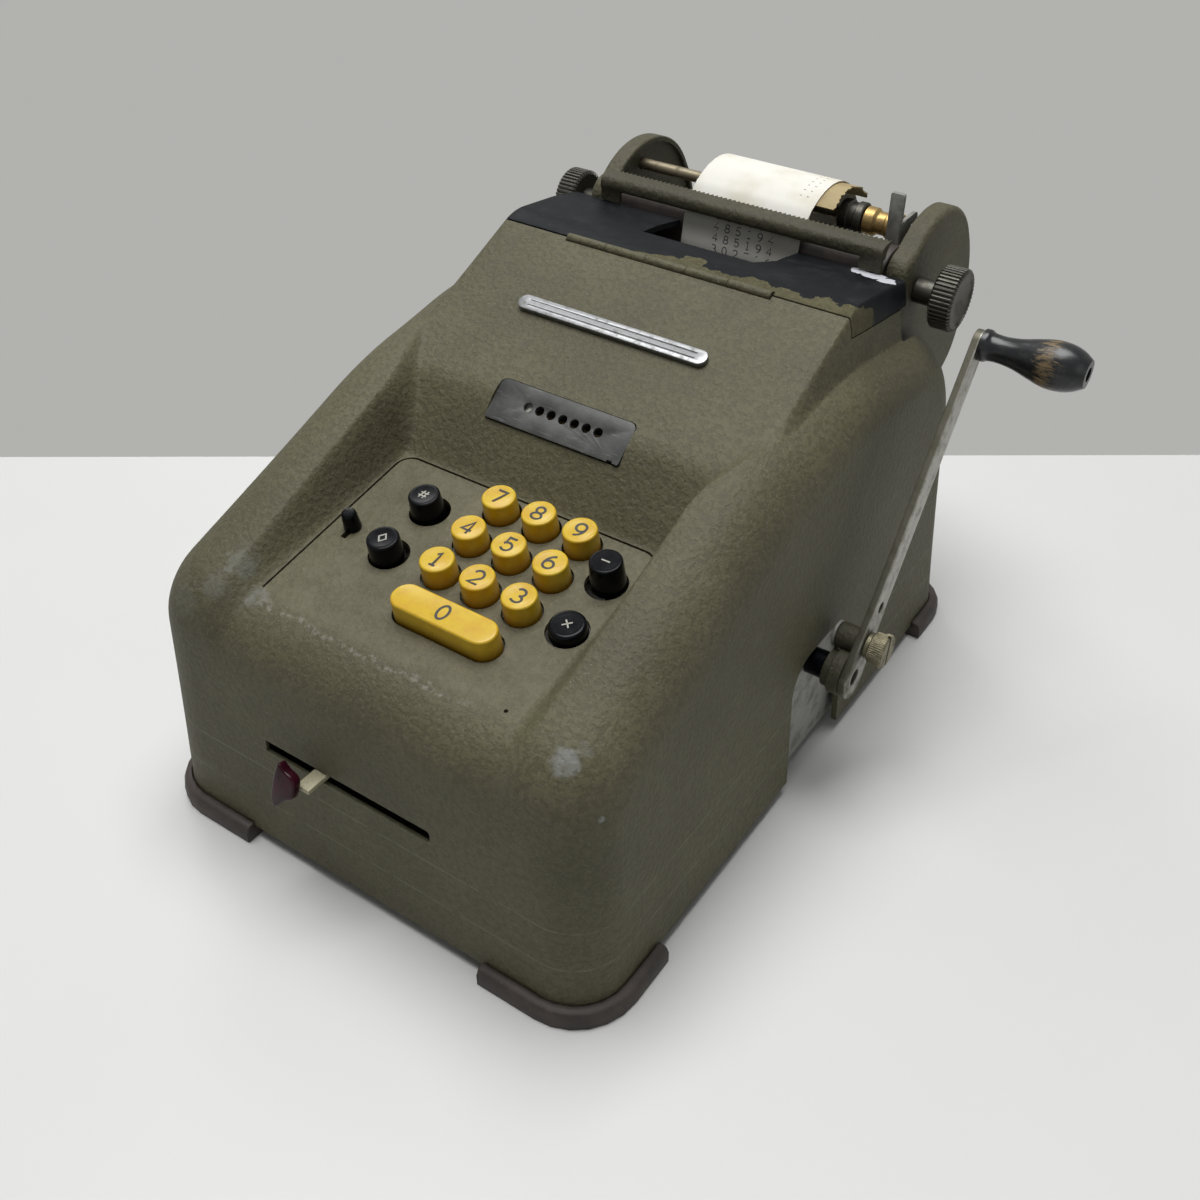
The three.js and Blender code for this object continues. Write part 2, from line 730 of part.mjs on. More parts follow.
function keyGuide() {
  const side = frameX - frameThickness / 2 - runningFit;
  const flangeX = deckHalfWidth - 2.4;
  const plate = solid(block(-side, side, deckFrontS + 6, deckRearS - 4, guideTop - guideThickness, guideTop));
  const flanges = [-1, 1].map((hand) => {
    const x0 = hand < 0 ? -flangeX - 1.4 : flangeX;
    return block(x0, x0 + 1.4, deckFrontS + 12, deckRearS - 8, guideTop - 1, -deckThickness - gap);
  });
  const stemReach = zeroKey.length / 2 - zeroKey.width / 2;
  const stems = roundKeys.map((key) => [key.x, key.s]);
  stems.push([zeroKey.x - stemReach, zeroKey.s], [zeroKey.x + stemReach, zeroKey.s]);
  const halfWidth = stemWidth / 2 + guideClearance;
  const halfDepth = stemDepth / 2 + guideClearance;
  const holes = stems.map(([x, s]) =>
    block(x - halfWidth, x + halfWidth, s - halfDepth, s + halfDepth, guideTop - 5, guideTop + 5));
  const reliefs = roundKeys.map((key) =>
    rodZ(key.base + guideClearance, -keySink - capTravel, gap, key.x, key.s, 22));
  return cut(join(plate, ...flanges), ...holes, ...reliefs);
}

function smallLever() {
  const { x, s } = deckLever;
  const blade = block(x - 0.9, x + 0.9, s - 1.2, s + 1.2, -12, 4);
  const capOutline = roundedRectangle(x - 3.6, x + 3.6, s - 3.6, s + 3.6, [3, 3, 3, 3]);
  return join(solid(blade), slabZ(capOutline, gap, 8.6, 4));
}

place('keyboard_plate', keyboardPlate(), paints.crinkle, deck);
for (const key of digitKeys) place(key.name, roundKey(key), paints.amber, deck);
place('key_0', barKey(), paints.amber, deck);
for (const key of functionKeys) place(key.name, roundKey(key), paints.black, deck);
place('deck_lever', smallLever(), paints.black, deck);
place('key_guide', keyGuide(), paints.steel, deck);

// Display window with its row of holes, and the pointer that shows the column through them.
function windowPlate() {
  const shape = windowOutline(0);
  for (let i = 0; i < windowHoles; i += 1) {
    shape.holes.push(circleHole(windowFirstHoleX + i * windowHolePitch, 0.6, windowHoleRadius));
  }
  return slabZ(shape, -windowThickness / 2, windowThickness / 2, 3);
}

// The pointer's flag stands behind the holes and is carried by an upright strip on the pin carriage.
function pointer() {
  const x0 = windowFirstHoleX - 2.2;
  const x1 = windowFirstHoleX + 2.2;
  const behind = -windowThickness / 2 - 1;
  const flag = inMachine(block(x0, x1, -7.6, 3.4, behind - 1.2, behind), windowFrame);
  const tail = inMachine(block(x0, x1, -7.6, -6.2, behind - 11, behind), windowFrame);
  const strip = block(x0, x1, pointerStripY, pointerStripY + 1.6, railAxis.z + 10 + gap, 139.5);
  return join(solid(flag), tail, strip);
}

place('window_plate', windowPlate(), paints.grey, windowFrame);
place('column_pointer', pointer(), paints.paper);

// A plain bar that lies on the panel.
function trimBar() {
  const bar = new THREE.ExtrudeGeometry(stadium(trimLength - 1, trimWidth - 1, 0, 0), {
    depth: trimThickness - 1,
    bevelSize: 0.5,
    bevelThickness: 0.5,
    bevelSegments: 1,
    curveSegments: 4,
  });
  bar.translate(0, 0, 0.5 + gap);
  bar.rotateX(Math.atan(panelSlope));
  return bar.translate(trimCentre.x, trimCentre.y, panelHeight(trimCentre.y));
}

place('trim_bar', trimBar(), paints.chrome);

// Carriage: two end brackets on a bent carrier plate, the platen with its knobs, and the paper.
function bracketOutline(shrink) {
  const { y: stepY, z: crownZ, radius } = bracketCrown;
  const front = bracketFrontY + shrink;
  const rear = bracketRearY - shrink;
  const foot = bracketFootZ + shrink;
  const lobe = bracketLobeZ + shrink;
  const shape = new THREE.Shape();
  shape.moveTo(front, foot);
  shape.lineTo(stepY - shrink, foot);
  shape.lineTo(stepY + 6 + shrink * 0.4, lobe + 8);
  shape.quadraticCurveTo(stepY + 9 + shrink, lobe, stepY + 18, lobe);
  shape.quadraticCurveTo(rear - 13, lobe + 2, rear - 6, bracketLobeZ + 13);
  shape.quadraticCurveTo(rear, bracketLobeZ + 23, rear, bracketLobeZ + 38);
  shape.quadraticCurveTo(rear, crownZ + 3, rear - 9.5 + shrink * 0.2, crownZ + 18.5 - shrink * 0.5);
  shape.absarc(stepY, crownZ, radius - shrink, 0.48, Math.PI * 0.72);
  shape.quadraticCurveTo(front, crownZ + 30 - shrink, front, crownZ + 20);
  return shape;
}

function bracket(hand) {
  const outerX = bracketOuter;
  const innerX = bracketOuter - bracketThickness;
  const plate = new THREE.ExtrudeGeometry(bracketOutline(bracketDome), {
    depth: bracketThickness - bracketDome,
    bevelSize: bracketDome,
    bevelThickness: bracketDome,
    bevelSegments: 2,
    curveSegments: 5,
  });
  plate.applyMatrix4(sideways);
  plate.translate(innerX, 0, 0);
  const pocket = slabX(bracketOutline(bracketRim), innerX - 1, outerX - bracketWeb, 4);
  const body = cut(
    solid(plate),
    block(innerX - 10, innerX, bracketFrontY - 10, bracketRearY + 10, bracketLobeZ - 10, cutTopZ),
    pocket,
    rodX(platenShaftRadius + runningFit, innerX - 5, outerX + 5, platenAxis, 20),
    rodX(spindleRadius + gap, innerX - 5, outerX - 1.2, spindleAxis, 20),
  );
  const turned = geometryOf(body);
  if (hand < 0) turned.scale(-1, 1, 1);
  return closed(turned.translate(carriageX, 0, 0));
}

function carrier() {
  const inner = bracketOuter - bracketThickness - runningFit;
  const top = bracketFootZ - gap;
  const bottom = top - 2.6;
  const side = frameX + frameThickness;
  const stepY = bracketCrown.y;
  const front = block(-side, side, bracketFrontY, stepY - 8, bottom, top);
  const rear = block(carriageX - inner, carriageX + inner, stepY - 20, stepY + 36, bottom, top);
  const lip = block(carriageX - inner, carriageX + inner, stepY + 33.4, stepY + 36, bottom, top + 21.3);
  return join(solid(front), rear, lip);
}

place('left_bracket', bracket(-1), paints.crinkle);
place('right_bracket', bracket(1), paints.crinkle);
place('carrier_plate', carrier(), paints.steel);

function platen() {
  const side = bracketOuter - bracketThickness - 1.6;
  const end = knobOuterX - 3;
  return turnedX([
    [carriageX - end, 0],
    [carriageX - end, platenShaftRadius],
    [carriageX - side, platenShaftRadius],
    [carriageX - side, platenRadius],
    [carriageX + side, platenRadius],
    [carriageX + side, platenShaftRadius],
    [carriageX + end, platenShaftRadius],
    [carriageX + end, 0],
  ], platenAxis, 36);
}

function ribbedWheel(radius, depth, ribs, x0, x1) {
  const shape = new THREE.Shape();
  for (let i = 0; i < ribs; i += 1) {
    const step = (2 * Math.PI) / ribs;
    for (const [turn, reach] of [[0, radius], [0.35, radius], [0.55, radius - depth], [0.8, radius - depth]]) {
      const angle = (i + turn) * step;
      const u = reach * Math.cos(angle);
      const v = reach * Math.sin(angle);
      if (i === 0 && turn === 0) shape.moveTo(u, v);
      else shape.lineTo(u, v);
    }
  }
  shape.closePath();
  return slabX(shape, x0, x1);
}

function platenKnob(hand) {
  const outer = knobOuterX + carriageX * hand;
  const inner = outer - knobThickness;
  const bossEnd = carriageX * hand + bracketOuter + runningFit;
  const origin = { y: 0, z: 0 };
  const wheel = solid(ribbedWheel(knobRadius, 0.8, knobRibs, inner, outer));
  const body = cut(
    join(wheel, rodX(knobBossRadius, bossEnd, inner + 1, origin, 20)),
    rodX(knobRadius - 3, outer - 1.4, outer + 1, origin, 24),
    rodX(platenShaftRadius + gap, bossEnd - 1, outer - 2.6, origin, 20),
  );
  const turned = geometryOf(body);
  if (hand < 0) turned.scale(-1, 1, 1);
  return closed(turned.translate(0, platenAxis.y, platenAxis.z));
}

place('platen', platen(), paints.rubber);
place('left_knob', platenKnob(-1), paints.steel);
place('right_knob', platenKnob(1), paints.steel);

// Paper rod across the brackets, with the hub, the collar and the upright arm at its right end.
const spindleReach = bracketOuter - 1.6;
const hubStartX = paperCentreX + paperWidth / 2 + 5;
const collarStartX = hubStartX + 14;

function turnedSleeve(radius, x0, x1) {
  const hole = rodX(spindleRadius + gap, x0 - 1, x1 + 1, spindleAxis, 20);
  return cut(solid(rodX(radius, x0, x1, spindleAxis, 24)), hole);
}

function uprightArm() {
  const x1 = carriageX + bracketOuter - bracketThickness - rodArmInset;
  const flange = block(x1 - 1.6, x1, spindleAxis.y - 8.4, spindleAxis.y + 6, spindleAxis.z - 4.6, spindleAxis.z + 7);
  const tab = block(x1 - 6.4, x1 - 0.4, spindleAxis.y - 11, spindleAxis.y - 9, spindleAxis.z - 3, spindleAxis.z + 19);
  const foot = block(x1 - 2, x1, spindleAxis.y - 10.5, spindleAxis.y - 8, spindleAxis.z - 3, spindleAxis.z + 7);
  return cut(join(solid(flange), tab, foot), rodX(spindleRadius + gap, x1 - 4, x1 + 4, spindleAxis, 20));
}

place(
  'paper_rod',
  rodX(spindleRadius, carriageX - spindleReach, carriageX + spindleReach, spindleAxis, 20),
  paints.steel,
);
place('roll_hub', turnedSleeve(7, hubStartX, collarStartX), paints.grey);
place('rod_collar', turnedSleeve(5, collarStartX + gap, collarStartX + 12), paints.brass);
place('rod_arm', uprightArm(), paints.steel);

// A sheet that follows a path of [y, z] points across the given stretch of X.
function sheetAlong(points, thickness, x0, x1) {
  const curve = new THREE.CatmullRomCurve3(points.map(([y, z]) => new THREE.Vector3(0, y, z)), false, 'centripetal');
  const steps = points.length * 3;
  const outer = [];
  const inner = [];
  for (let i = 0; i <= steps; i += 1) {
    const at = curve.getPointAt(i / steps);
    const along = curve.getTangentAt(i / steps);
    const across = new THREE.Vector2(-along.z, along.y).multiplyScalar(thickness / 2);
    outer.push([at.y + across.x, at.z + across.y]);
    inner.push([at.y - across.x, at.z - across.y]);
  }
  return slabX(polygon([...outer, ...inner.reverse()]), x0, x1);
}

function arcPoints(centre, radius, from, to, count) {
  const points = [];
  for (let i = 0; i <= count; i += 1) {
    const angle = THREE.MathUtils.degToRad(THREE.MathUtils.lerp(from, to, i / count));
    points.push([centre.y + radius * Math.cos(angle), centre.z + radius * Math.sin(angle)]);
  }
  return points;
}

function paperStrip() {
  const wrap = platenRadius + gap + paperThickness / 2 + 0.1;
  const path = [
    ...arcPoints(platenAxis, wrap, 235, 165, 5),
    [platenAxis.y - 12.9, platenAxis.z + 14.4],
    ...arcPoints(archCentre, archRadius, 128, 10, 7),
    [archCentre.y + 29.4, archCentre.z - 8],
  ];
  return sheetAlong(path, paperThickness, paperCentreX - paperWidth / 2, paperCentreX + paperWidth / 2);
}

function paperLeader() {
  const radius = archRadius - paperThickness / 2 - gap - 0.35;
  const path = arcPoints(archCentre, radius, 118, 40, 7);
  const right = paperCentreX + paperWidth / 2 + 11;
  return sheetAlong(path, 0.6, paperCentreX - paperWidth / 2 + 2, right);
}

place('paper_strip', paperStrip(), paints.paper);
place('paper_leader', paperLeader(), paints.kraft);

// Tear bar: a rounded bar with a straight rear edge on two short legs that stand on the lid.
function tearBar() {
  const side = bracketOuter - bracketThickness - runningFit;
  const x0 = carriageX - side;
  const x1 = carriageX + side;
  const section = new THREE.Shape();
  section.moveTo(barFrontY + 4, barBottomZ);
  section.lineTo(barFrontY + 1.2, barBottomZ);
  section.quadraticCurveTo(barFrontY, barBottomZ, barFrontY, barBottomZ + 1.6);
  section.lineTo(barFrontY, barTopZ - 4);
  section.quadraticCurveTo(barFrontY, barTopZ - 0.4, barFrontY + 4.6, barTopZ);
  section.lineTo(barRearY, barTopZ);
  section.lineTo(barRearY, barTopZ - 0.9);
  section.quadraticCurveTo(barFrontY + 5.4, barTopZ - 1.6, barFrontY + 4, barBottomZ);
  const legs = [x0, x1 - barLegWidth].map((x) =>
    block(x, x + barLegWidth, barFrontY + 0.2, lidRearY - 0.4, barLegBottomZ, barBottomZ + 2));
  return join(solid(slabX(section, x0, x1, 5)), ...legs);
}

place('tear_bar', tearBar(), paints.crinkle);

// Crank: shaft, collar, hub, flat arm with its round ends, clamp screw and pear-shaped handle.
const armDirection = new THREE.Vector2(Math.sin(crankLean), Math.cos(crankLean));

function onArm(reach) {
  return { y: crankAxis.y + reach * armDirection.x, z: crankAxis.z + reach * armDirection.y };
}

function crankShaft() {
  const left = -(frameX + 5);
  const discX = frameX - 12;
  return turnedX([
    [left, 0],
    [left, crankShaftRadius],
    [discX, crankShaftRadius],
    [discX, 19],
    [discX + 3, 19],
    [discX + 3, crankShaftRadius],
    [armInnerX - 2, crankShaftRadius],
    [armInnerX - 2, 0],
  ], crankAxis, 24);
}

function crankHub() {
  const x0 = hubInnerX;
  const x1 = armInnerX - gap;
  const clamp = onArm(clampReach);
  const stepped = solid(rodX(armPivotRadius - 1.6, x0, x0 + hubStep, crankAxis, 28));
  const flange = rodX(armPivotRadius, x0 + hubStep, x1, crankAxis, 28);
  const ear = rodX(clampEarRadius, x0 + hubStep, x1, clamp, 20);
  return cut(
    join(stepped, flange, ear),
    rodX(crankShaftRadius + gap, x0 - 1, x1 - 1.4, crankAxis, 24),
    rodX(clampShankRadius + gap, x0 - 1, x1 + 1, clamp, 16),
  );
}

function armOutline() {
  const tip = onArm(crankReach);
  const side = new THREE.Vector2(armDirection.y, -armDirection.x);
  const flare = onArm(34);
  const heading = Math.atan2(armDirection.y, armDirection.x);
  const shape = new THREE.Shape();
  shape.absarc(crankAxis.y, crankAxis.z, armPivotRadius, heading + Math.PI * 0.58, heading + Math.PI * 1.42);
  shape.lineTo(flare.y + side.x * 6.2, flare.z + side.y * 6.2);
  shape.absarc(tip.y, tip.z, armTipRadius, heading - Math.PI / 2, heading + Math.PI / 2);
  shape.lineTo(flare.y - side.x * 6.2, flare.z - side.y * 6.2);
  shape.closePath();
  return shape;
}

function crankArm() {
  const shape = armOutline();
  const clamp = onArm(clampReach);
  const spare = onArm(holeReach);
  shape.holes.push(circleHole(crankAxis.y, crankAxis.z, 3.6));
  shape.holes.push(circleHole(clamp.y, clamp.z, clampShankRadius + gap));
  shape.holes.push(circleHole(spare.y, spare.z, 2.4));
  const outer = armInnerX + armThickness;
  const tip = onArm(crankReach);
  const pin = rodX(handlePinRadius, outer - 1, outer + gap + handleLength - 2.4, tip, 16);
  return join(solid(slabX(shape, armInnerX, outer, 10)), pin);
}

function clampScrew() {
  const clamp = onArm(clampReach);
  const headStart = armInnerX + armThickness + gap;
  const neckEnd = headStart + clampNeckLength;
  const headEnd = neckEnd + 7;
  const screw = turnedX([
    [hubInnerX - 1.8, 0],
    [hubInnerX - 1.8, clampEarRadius],
    [hubInnerX - 0.4, clampEarRadius],
    [hubInnerX - 0.4, clampShankRadius],
    [headStart, clampShankRadius],
    [headStart, clampNeckRadius],
    [neckEnd, clampNeckRadius],
    [neckEnd, clampRadius - 0.8],
    [neckEnd + 0.8, clampRadius],
    [headEnd - 0.8, clampRadius],
    [headEnd, clampRadius - 0.8],
    [headEnd, 0],
  ], clamp, 24);
  const slotCut = block(headEnd - 1.4, headEnd + 1, clamp.y - 0.7, clamp.y + 0.7, clamp.z - 9, clamp.z + 9);
  return cut(solid(screw), slotCut);
}

function crankHandle() {
  const start = armInnerX + armThickness + gap;
  const shares = [
    [0, 6.4], [0.05, 6.4], [0.09, 5.6], [0.2, 5.4], [0.34, 6.2], [0.48, 7.8], [0.62, 9.2], [0.72, 9.5],
    [0.82, 9.1], [0.91, 7.9], [0.97, 6.4], [1, 5.6],
  ];
  const profile = [[start, 0], ...shares.map(([share, radius]) => [start + share * handleLength, radius])];
  profile.push([start + handleLength, 0]);
  const bore = handlePinRadius + gap;
  const tip = onArm(crankReach);
  return cut(solid(turnedX(profile, tip, 28)), rodX(bore, start - 1, start + handleLength + 1, tip, 20));
}

const wallPlateThickness = 1.8;
const wallPlateFront = archFrontY - 8;
const wallPlateRear = archRearY + 12;

function wallPlateX() {
  return caseHalfWidth(archTopZ + 10) - caseWall - gap;
}

function wallPlate() {
  const inside = wallPlateX();
  const shape = roundedRectangle(wallPlateFront, wallPlateRear, caseBottom, archTopZ + 9, [0, 0, 12, 12]);
  shape.holes.push(circleHole(crankAxis.y, crankAxis.z, crankShaftRadius + runningFit));
  return slabX(shape, inside - wallPlateThickness, inside);
}

place('crank_shaft', crankShaft(), paints.steel);
place('shaft_collar', cut(
  solid(rodX(crankShaftRadius + gap + collarWall, wallPlateX() + gap, hubInnerX - gap, crankAxis, 28)),
  rodX(crankShaftRadius + gap, wallPlateX() - 5, armInnerX, crankAxis, 24),
), paints.black);
place('crank_hub', crankHub(), paints.crinkle);
place('crank_arm', crankArm(), paints.steel);
place('clamp_screw', clampScrew(), paints.brass);
place('crank_handle', crankHandle(), paints.wood);
place('wall_plate', wallPlate(), paints.steel);

// Base plate and the four corner feet.
function basePlate() {
  const side = caseWidth / 2 - caseWall - 1;
  const recessX = wallPlateX() - wallPlateThickness - gap;
  const radius = frontCornerRadius - caseWall - 1;
  const shape = roundedRectangle(-side, side, caseWall + 1.2, caseDepth - caseWall - 1.4,
    [radius, radius, rearCornerRadius, rearCornerRadius]);
  const recess = block(recessX, side + 1, wallPlateFront - gap, wallPlateRear + gap, 0, 20);
  return cut(solid(slabZ(shape, caseBottom, caseBottom + plateThickness, 5)), recess);
}

function foot(handX, rear) {
  const corner = rear ? rearCornerRadius : frontCornerRadius;
  const wallY = rear ? caseDepth : 0;
  const farY = rear ? caseDepth - footRearReachY : footFrontReachY;
  const out = rear ? 1 : -1;
  const half = caseWidth / 2 + (handX < 0 ? leftWallOut : 0);
  const outerX = caseWidth / 2 + footProud;
  const ring = (sideX, proud, z, past) => {
    const innerX = outerX - footLengthX - past;
    const points = [[innerX, farY - out * past], [sideX, farY - out * past]];
    const radiusX = sideX - half + corner;
    const radiusY = proud + corner;
    for (let k = 0; k <= 6; k += 1) {
      const turn = (k / 6) * (Math.PI / 2);
      const x = half - corner + radiusX * Math.cos(turn);
      points.push([x, wallY + out * (radiusY * Math.sin(turn) - corner)]);
    }
    points.push([innerX, wallY + out * proud]);
    return points.map(([x, y]) => new THREE.Vector3(handX * x, y, z));
  };
  const edge = (share, z) => ring(half + (outerX - half) * share, footProud * share, z, 0);
  const top = footHeight + footRim;
  const rim = skin([edge(1, 0), edge(1, footHeight - 0.4), edge(0.8, top - 0.8), edge(0.45, top)], true);
  const wallSpace = skin([ring(half + gap, gap, footHeight, 2), ring(half + gap, gap, top + 5, 2)], true);
  return cut(solid(rim), wallSpace);
}

place('base_plate', basePlate(), paints.steel);
place('foot_front_left', foot(-1, false), paints.rubber);
place('foot_front_right', foot(1, false), paints.rubber);
place('foot_rear_left', foot(-1, true), paints.rubber);
place('foot_rear_right', foot(1, true), paints.rubber);

// Sliding lever in the front slot.
function leverTab() {
  const top = slot.z1 - leverDrop;
  return block(leverX - 3.2, leverX + 3.2, -leverReach, 24, top - leverThickness, top);
}

function leverKnob() {
  const shape = polygon([
    [-8.6, 10], [-10.2, 3.9], [-11.7, -3.1], [-11.7, -8.8], [-9.3, -10.1], [-6, -5.9], [-1.8, -2.9],
    [-0.7, 2.4], [0, 6.2], [-3.7, 8.4], [-7.3, 10.7],
  ]);
  const knob = new THREE.ExtrudeGeometry(shape, {
    depth: 2.4,
    bevelSize: 0.8,
    bevelThickness: 0.8,
    bevelSegments: 2,
  });
  knob.rotateX(Math.PI / 2 - leverKnobLean);
  return knob.translate(leverX, -leverReach - gap - 1.2, slot.z1 - leverDrop - leverThickness / 2);
}

place('lever_tab', leverTab(), paints.cream);
place('lever_knob', leverKnob(), paints.maroon);

// Inner works: two side frames, the stop-pin carriage on its rail, the type sectors on their shaft,
// the register pinions and the ribbon spools on their deck.
function sideFrame(hand) {
  const bottom = caseBottom + plateThickness + gap;
  const shape = polygon([
    [frameFrontY, bottom], [frameRearY, bottom], [frameRearY, frameTopZ], [frameRearY - 82, frameTopZ],
    [frameFrontY + 130, frameTopZ - 9.7], [frameFrontY + 50, deckOrigin.z - 24.46],
    [frameFrontY + 4, deckOrigin.z - 46.46],
  ]);
  const bores = [
    [crankAxis, crankShaftRadius],
    [railAxis, railRadius],
    [sectorAxis, sectorShaftRadius],
    [pinionAxis, pinionShaftRadius],
  ];
  for (const [axis, radius] of bores) {
    shape.holes.push(circleHole(axis.y, axis.z, radius + runningFit));
  }
  const x0 = hand * frameX - frameThickness / 2;
  return slabX(shape, x0, x0 + frameThickness, 6);
}

function pinCarriage() {
  const top = railAxis.z + 10;
  const shelfX = windowFirstHoleX;
  const body = solid(block(-20, 20, railAxis.y - 14, railAxis.y + 12, railAxis.z - 8, top));
  const shelf = block(shelfX - 3, shelfX + 3, railAxis.y + 11, pointerStripY + 3, top - 5, top);
  return cut(join(body, shelf), rodX(railRadius + runningFit, -30, 30, railAxis, 20));
}

function typeSectors() {
  const reach = frameX + 4;
  const shaft = solid(rodX(sectorShaftRadius, -reach, reach, sectorAxis, 20));
  const sectors = [];
  for (let i = 0; i < sectorCount; i += 1) {
    const x = paperCentreX + (i - (sectorCount - 1) / 2) * sectorPitch;
    const arm = polygon([[-4, 0], [-2.4, sectorReach - 22], [-7, sectorReach - 20], [-7, sectorReach],
      [7, sectorReach], [7, sectorReach - 20], [2.4, sectorReach - 22], [4, 0]]);
    const slab = slabX(arm, x - 0.8, x + 0.8);
    slab.rotateX(sectorRestLean);
    sectors.push(slab.translate(0, sectorAxis.y, sectorAxis.z));
  }
  const hub = rodX(7, paperCentreX - 16, paperCentreX + 16, sectorAxis, 20);
  return join(shaft, hub, ...sectors);
}

function registerPinions() {
  const reach = frameX + 4;
  const shaft = pinionShaftRadius;
  const pitch = 5.2;
  const first = -20;
  const profile = [[-reach, 0], [-reach, shaft], [first, shaft]];
  for (let i = 0; i < pinionCount; i += 1) {
    const x = first + i * pitch;
    profile.push([x, pinionRadius], [x + pitch / 2, pinionRadius], [x + pitch / 2, shaft], [x + pitch, shaft]);
  }
  profile.push([reach, shaft], [reach, 0]);
  return turnedX(profile, pinionAxis, 14);
}

function spoolDeck() {
  const side = frameX + 1;
  const plate = solid(block(-side, side, spoolY - 19, spoolY + 13, spoolDeckZ, spoolDeckZ + 2));
  const walls = [-1, 1].map((hand) => {
    const x0 = hand * frameX - frameThickness / 2;
    return block(x0, x0 + frameThickness, spoolY - 15, spoolY + 9, frameTopZ + gap, spoolDeckZ + 1);
  });
  const window = block(paperCentreX - 18, paperCentreX + 18, spoolY - 25, spoolY + 30, spoolDeckZ - 4, spoolDeckZ + 6);
  const body = join(plate, ...walls);
  const bridge = block(-side, side, spoolY - 19, spoolY - 16, spoolDeckZ, spoolDeckZ + 2);
  return join(cut(body, window), bridge);
}

function ribbonSpool(hand) {
  const z = spoolDeckZ + 2 + gap;
  const spool = turnedX([
    [z, 0], [z, spoolRadius], [z + 1, spoolRadius], [z + 1, 9], [z + 13, 9], [z + 13, spoolRadius],
    [z + 14, spoolRadius], [z + 14, 3], [z + 17, 3], [z + 17, 0],
  ], { y: 0, z: 0 }, 24);
  return spool.rotateY(-Math.PI / 2).translate(hand * spoolX, spoolY - 3, 0);
}

place('left_frame', sideFrame(-1), paints.steel);
place('right_frame', sideFrame(1), paints.steel);
place('pin_carriage', pinCarriage(), paints.steel);
place('carriage_rail', rodX(railRadius, -frameX - 4, frameX + 4, railAxis, 20), paints.steel);
place('type_sectors', typeSectors(), paints.steel);
place('register_pinions', registerPinions(), paints.brass);
place('spool_deck', spoolDeck(), paints.steel);
place('ribbon_spool_left', ribbonSpool(-1), paints.grey);
place('ribbon_spool_right', ribbonSpool(1), paints.grey);

const box = new THREE.Box3().setFromObject(machine, true);
const middle = box.getCenter(new THREE.Vector3());
machine.position.set(-middle.x, -middle.y, -box.min.z);

const model = new THREE.Group();
model.add(machine);

export default model;
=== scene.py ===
import math

import bmesh
import bpy
from mathutils import Matrix, Vector, noise


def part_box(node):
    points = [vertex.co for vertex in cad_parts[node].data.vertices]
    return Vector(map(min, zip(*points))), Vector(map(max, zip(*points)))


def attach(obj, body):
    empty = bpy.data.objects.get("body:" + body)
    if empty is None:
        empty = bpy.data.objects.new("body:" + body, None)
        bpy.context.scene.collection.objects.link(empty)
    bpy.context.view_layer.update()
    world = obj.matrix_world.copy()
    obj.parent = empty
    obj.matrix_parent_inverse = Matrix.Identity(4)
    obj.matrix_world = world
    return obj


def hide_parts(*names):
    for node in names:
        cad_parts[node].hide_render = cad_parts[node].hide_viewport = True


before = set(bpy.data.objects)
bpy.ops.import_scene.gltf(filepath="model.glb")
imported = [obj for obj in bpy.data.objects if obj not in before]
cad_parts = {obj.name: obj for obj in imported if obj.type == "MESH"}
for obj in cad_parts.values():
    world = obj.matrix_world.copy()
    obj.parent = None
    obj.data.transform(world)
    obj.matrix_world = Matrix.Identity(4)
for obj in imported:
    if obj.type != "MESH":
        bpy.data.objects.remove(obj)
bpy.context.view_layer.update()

# All shapes below are written in millimetres in the machine's own frame: X = 0 on the middle of the
# keyboard, Y = 0 at the foot of the front wall, Z = 0 on the table. place() moves them into the frame.
MM = 0.001
CASE_WIDTH = 217.0
FOOT_PROUD = 5.0
ORIGIN = Vector((
    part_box("case_cover")[1].x - CASE_WIDTH / 2 * MM,
    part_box("foot_front_right")[0].y + FOOT_PROUD * MM,
    0.0,
))


def place(point):
    return Vector(point) * MM + ORIGIN


# Camera: right of the front, looking down at the keyboard.
CAMERA_AT = (265.6, -222.0, 422.3)
CAMERA_TURN = math.radians(34.6)
CAMERA_DOWN = math.radians(38.9)
FOCAL_PIXELS = 1327.9
IMAGE_PIXELS = 1200


def make_camera():
    data = bpy.data.cameras.new("camera")
    data.sensor_fit = "HORIZONTAL"
    data.sensor_width = 36.0
    data.lens = FOCAL_PIXELS / IMAGE_PIXELS * data.sensor_width
    data.clip_start = 0.01
    camera = bpy.data.objects.new("camera", data)
    camera.location = place(CAMERA_AT)
    camera.rotation_euler = (math.pi / 2 - CAMERA_DOWN, 0.0, CAMERA_TURN)
    bpy.context.scene.collection.objects.link(camera)
    bpy.context.scene.camera = camera


# Mesh helpers
def link(name, mesh):
    piece = bpy.data.objects.new(name, mesh)
    bpy.context.scene.collection.objects.link(piece)
    return piece


def clean(mesh, smooth):
    """Merges doubles, turns the faces out and shades edges flatter than smooth degrees as round."""
    work = bmesh.new()
    work.from_mesh(mesh)
    bmesh.ops.remove_doubles(work, verts=work.verts, dist=2e-6)
    bmesh.ops.dissolve_degenerate(work, edges=work.edges, dist=1e-7)
    bmesh.ops.recalc_face_normals(work, faces=work.faces)
    work.to_mesh(mesh)
    work.free()
    mesh.polygons.foreach_set("use_smooth", [smooth > 0] * len(mesh.polygons))
    if smooth > 0:
        mesh.set_sharp_from_angle(angle=math.radians(smooth))
    mesh.update()


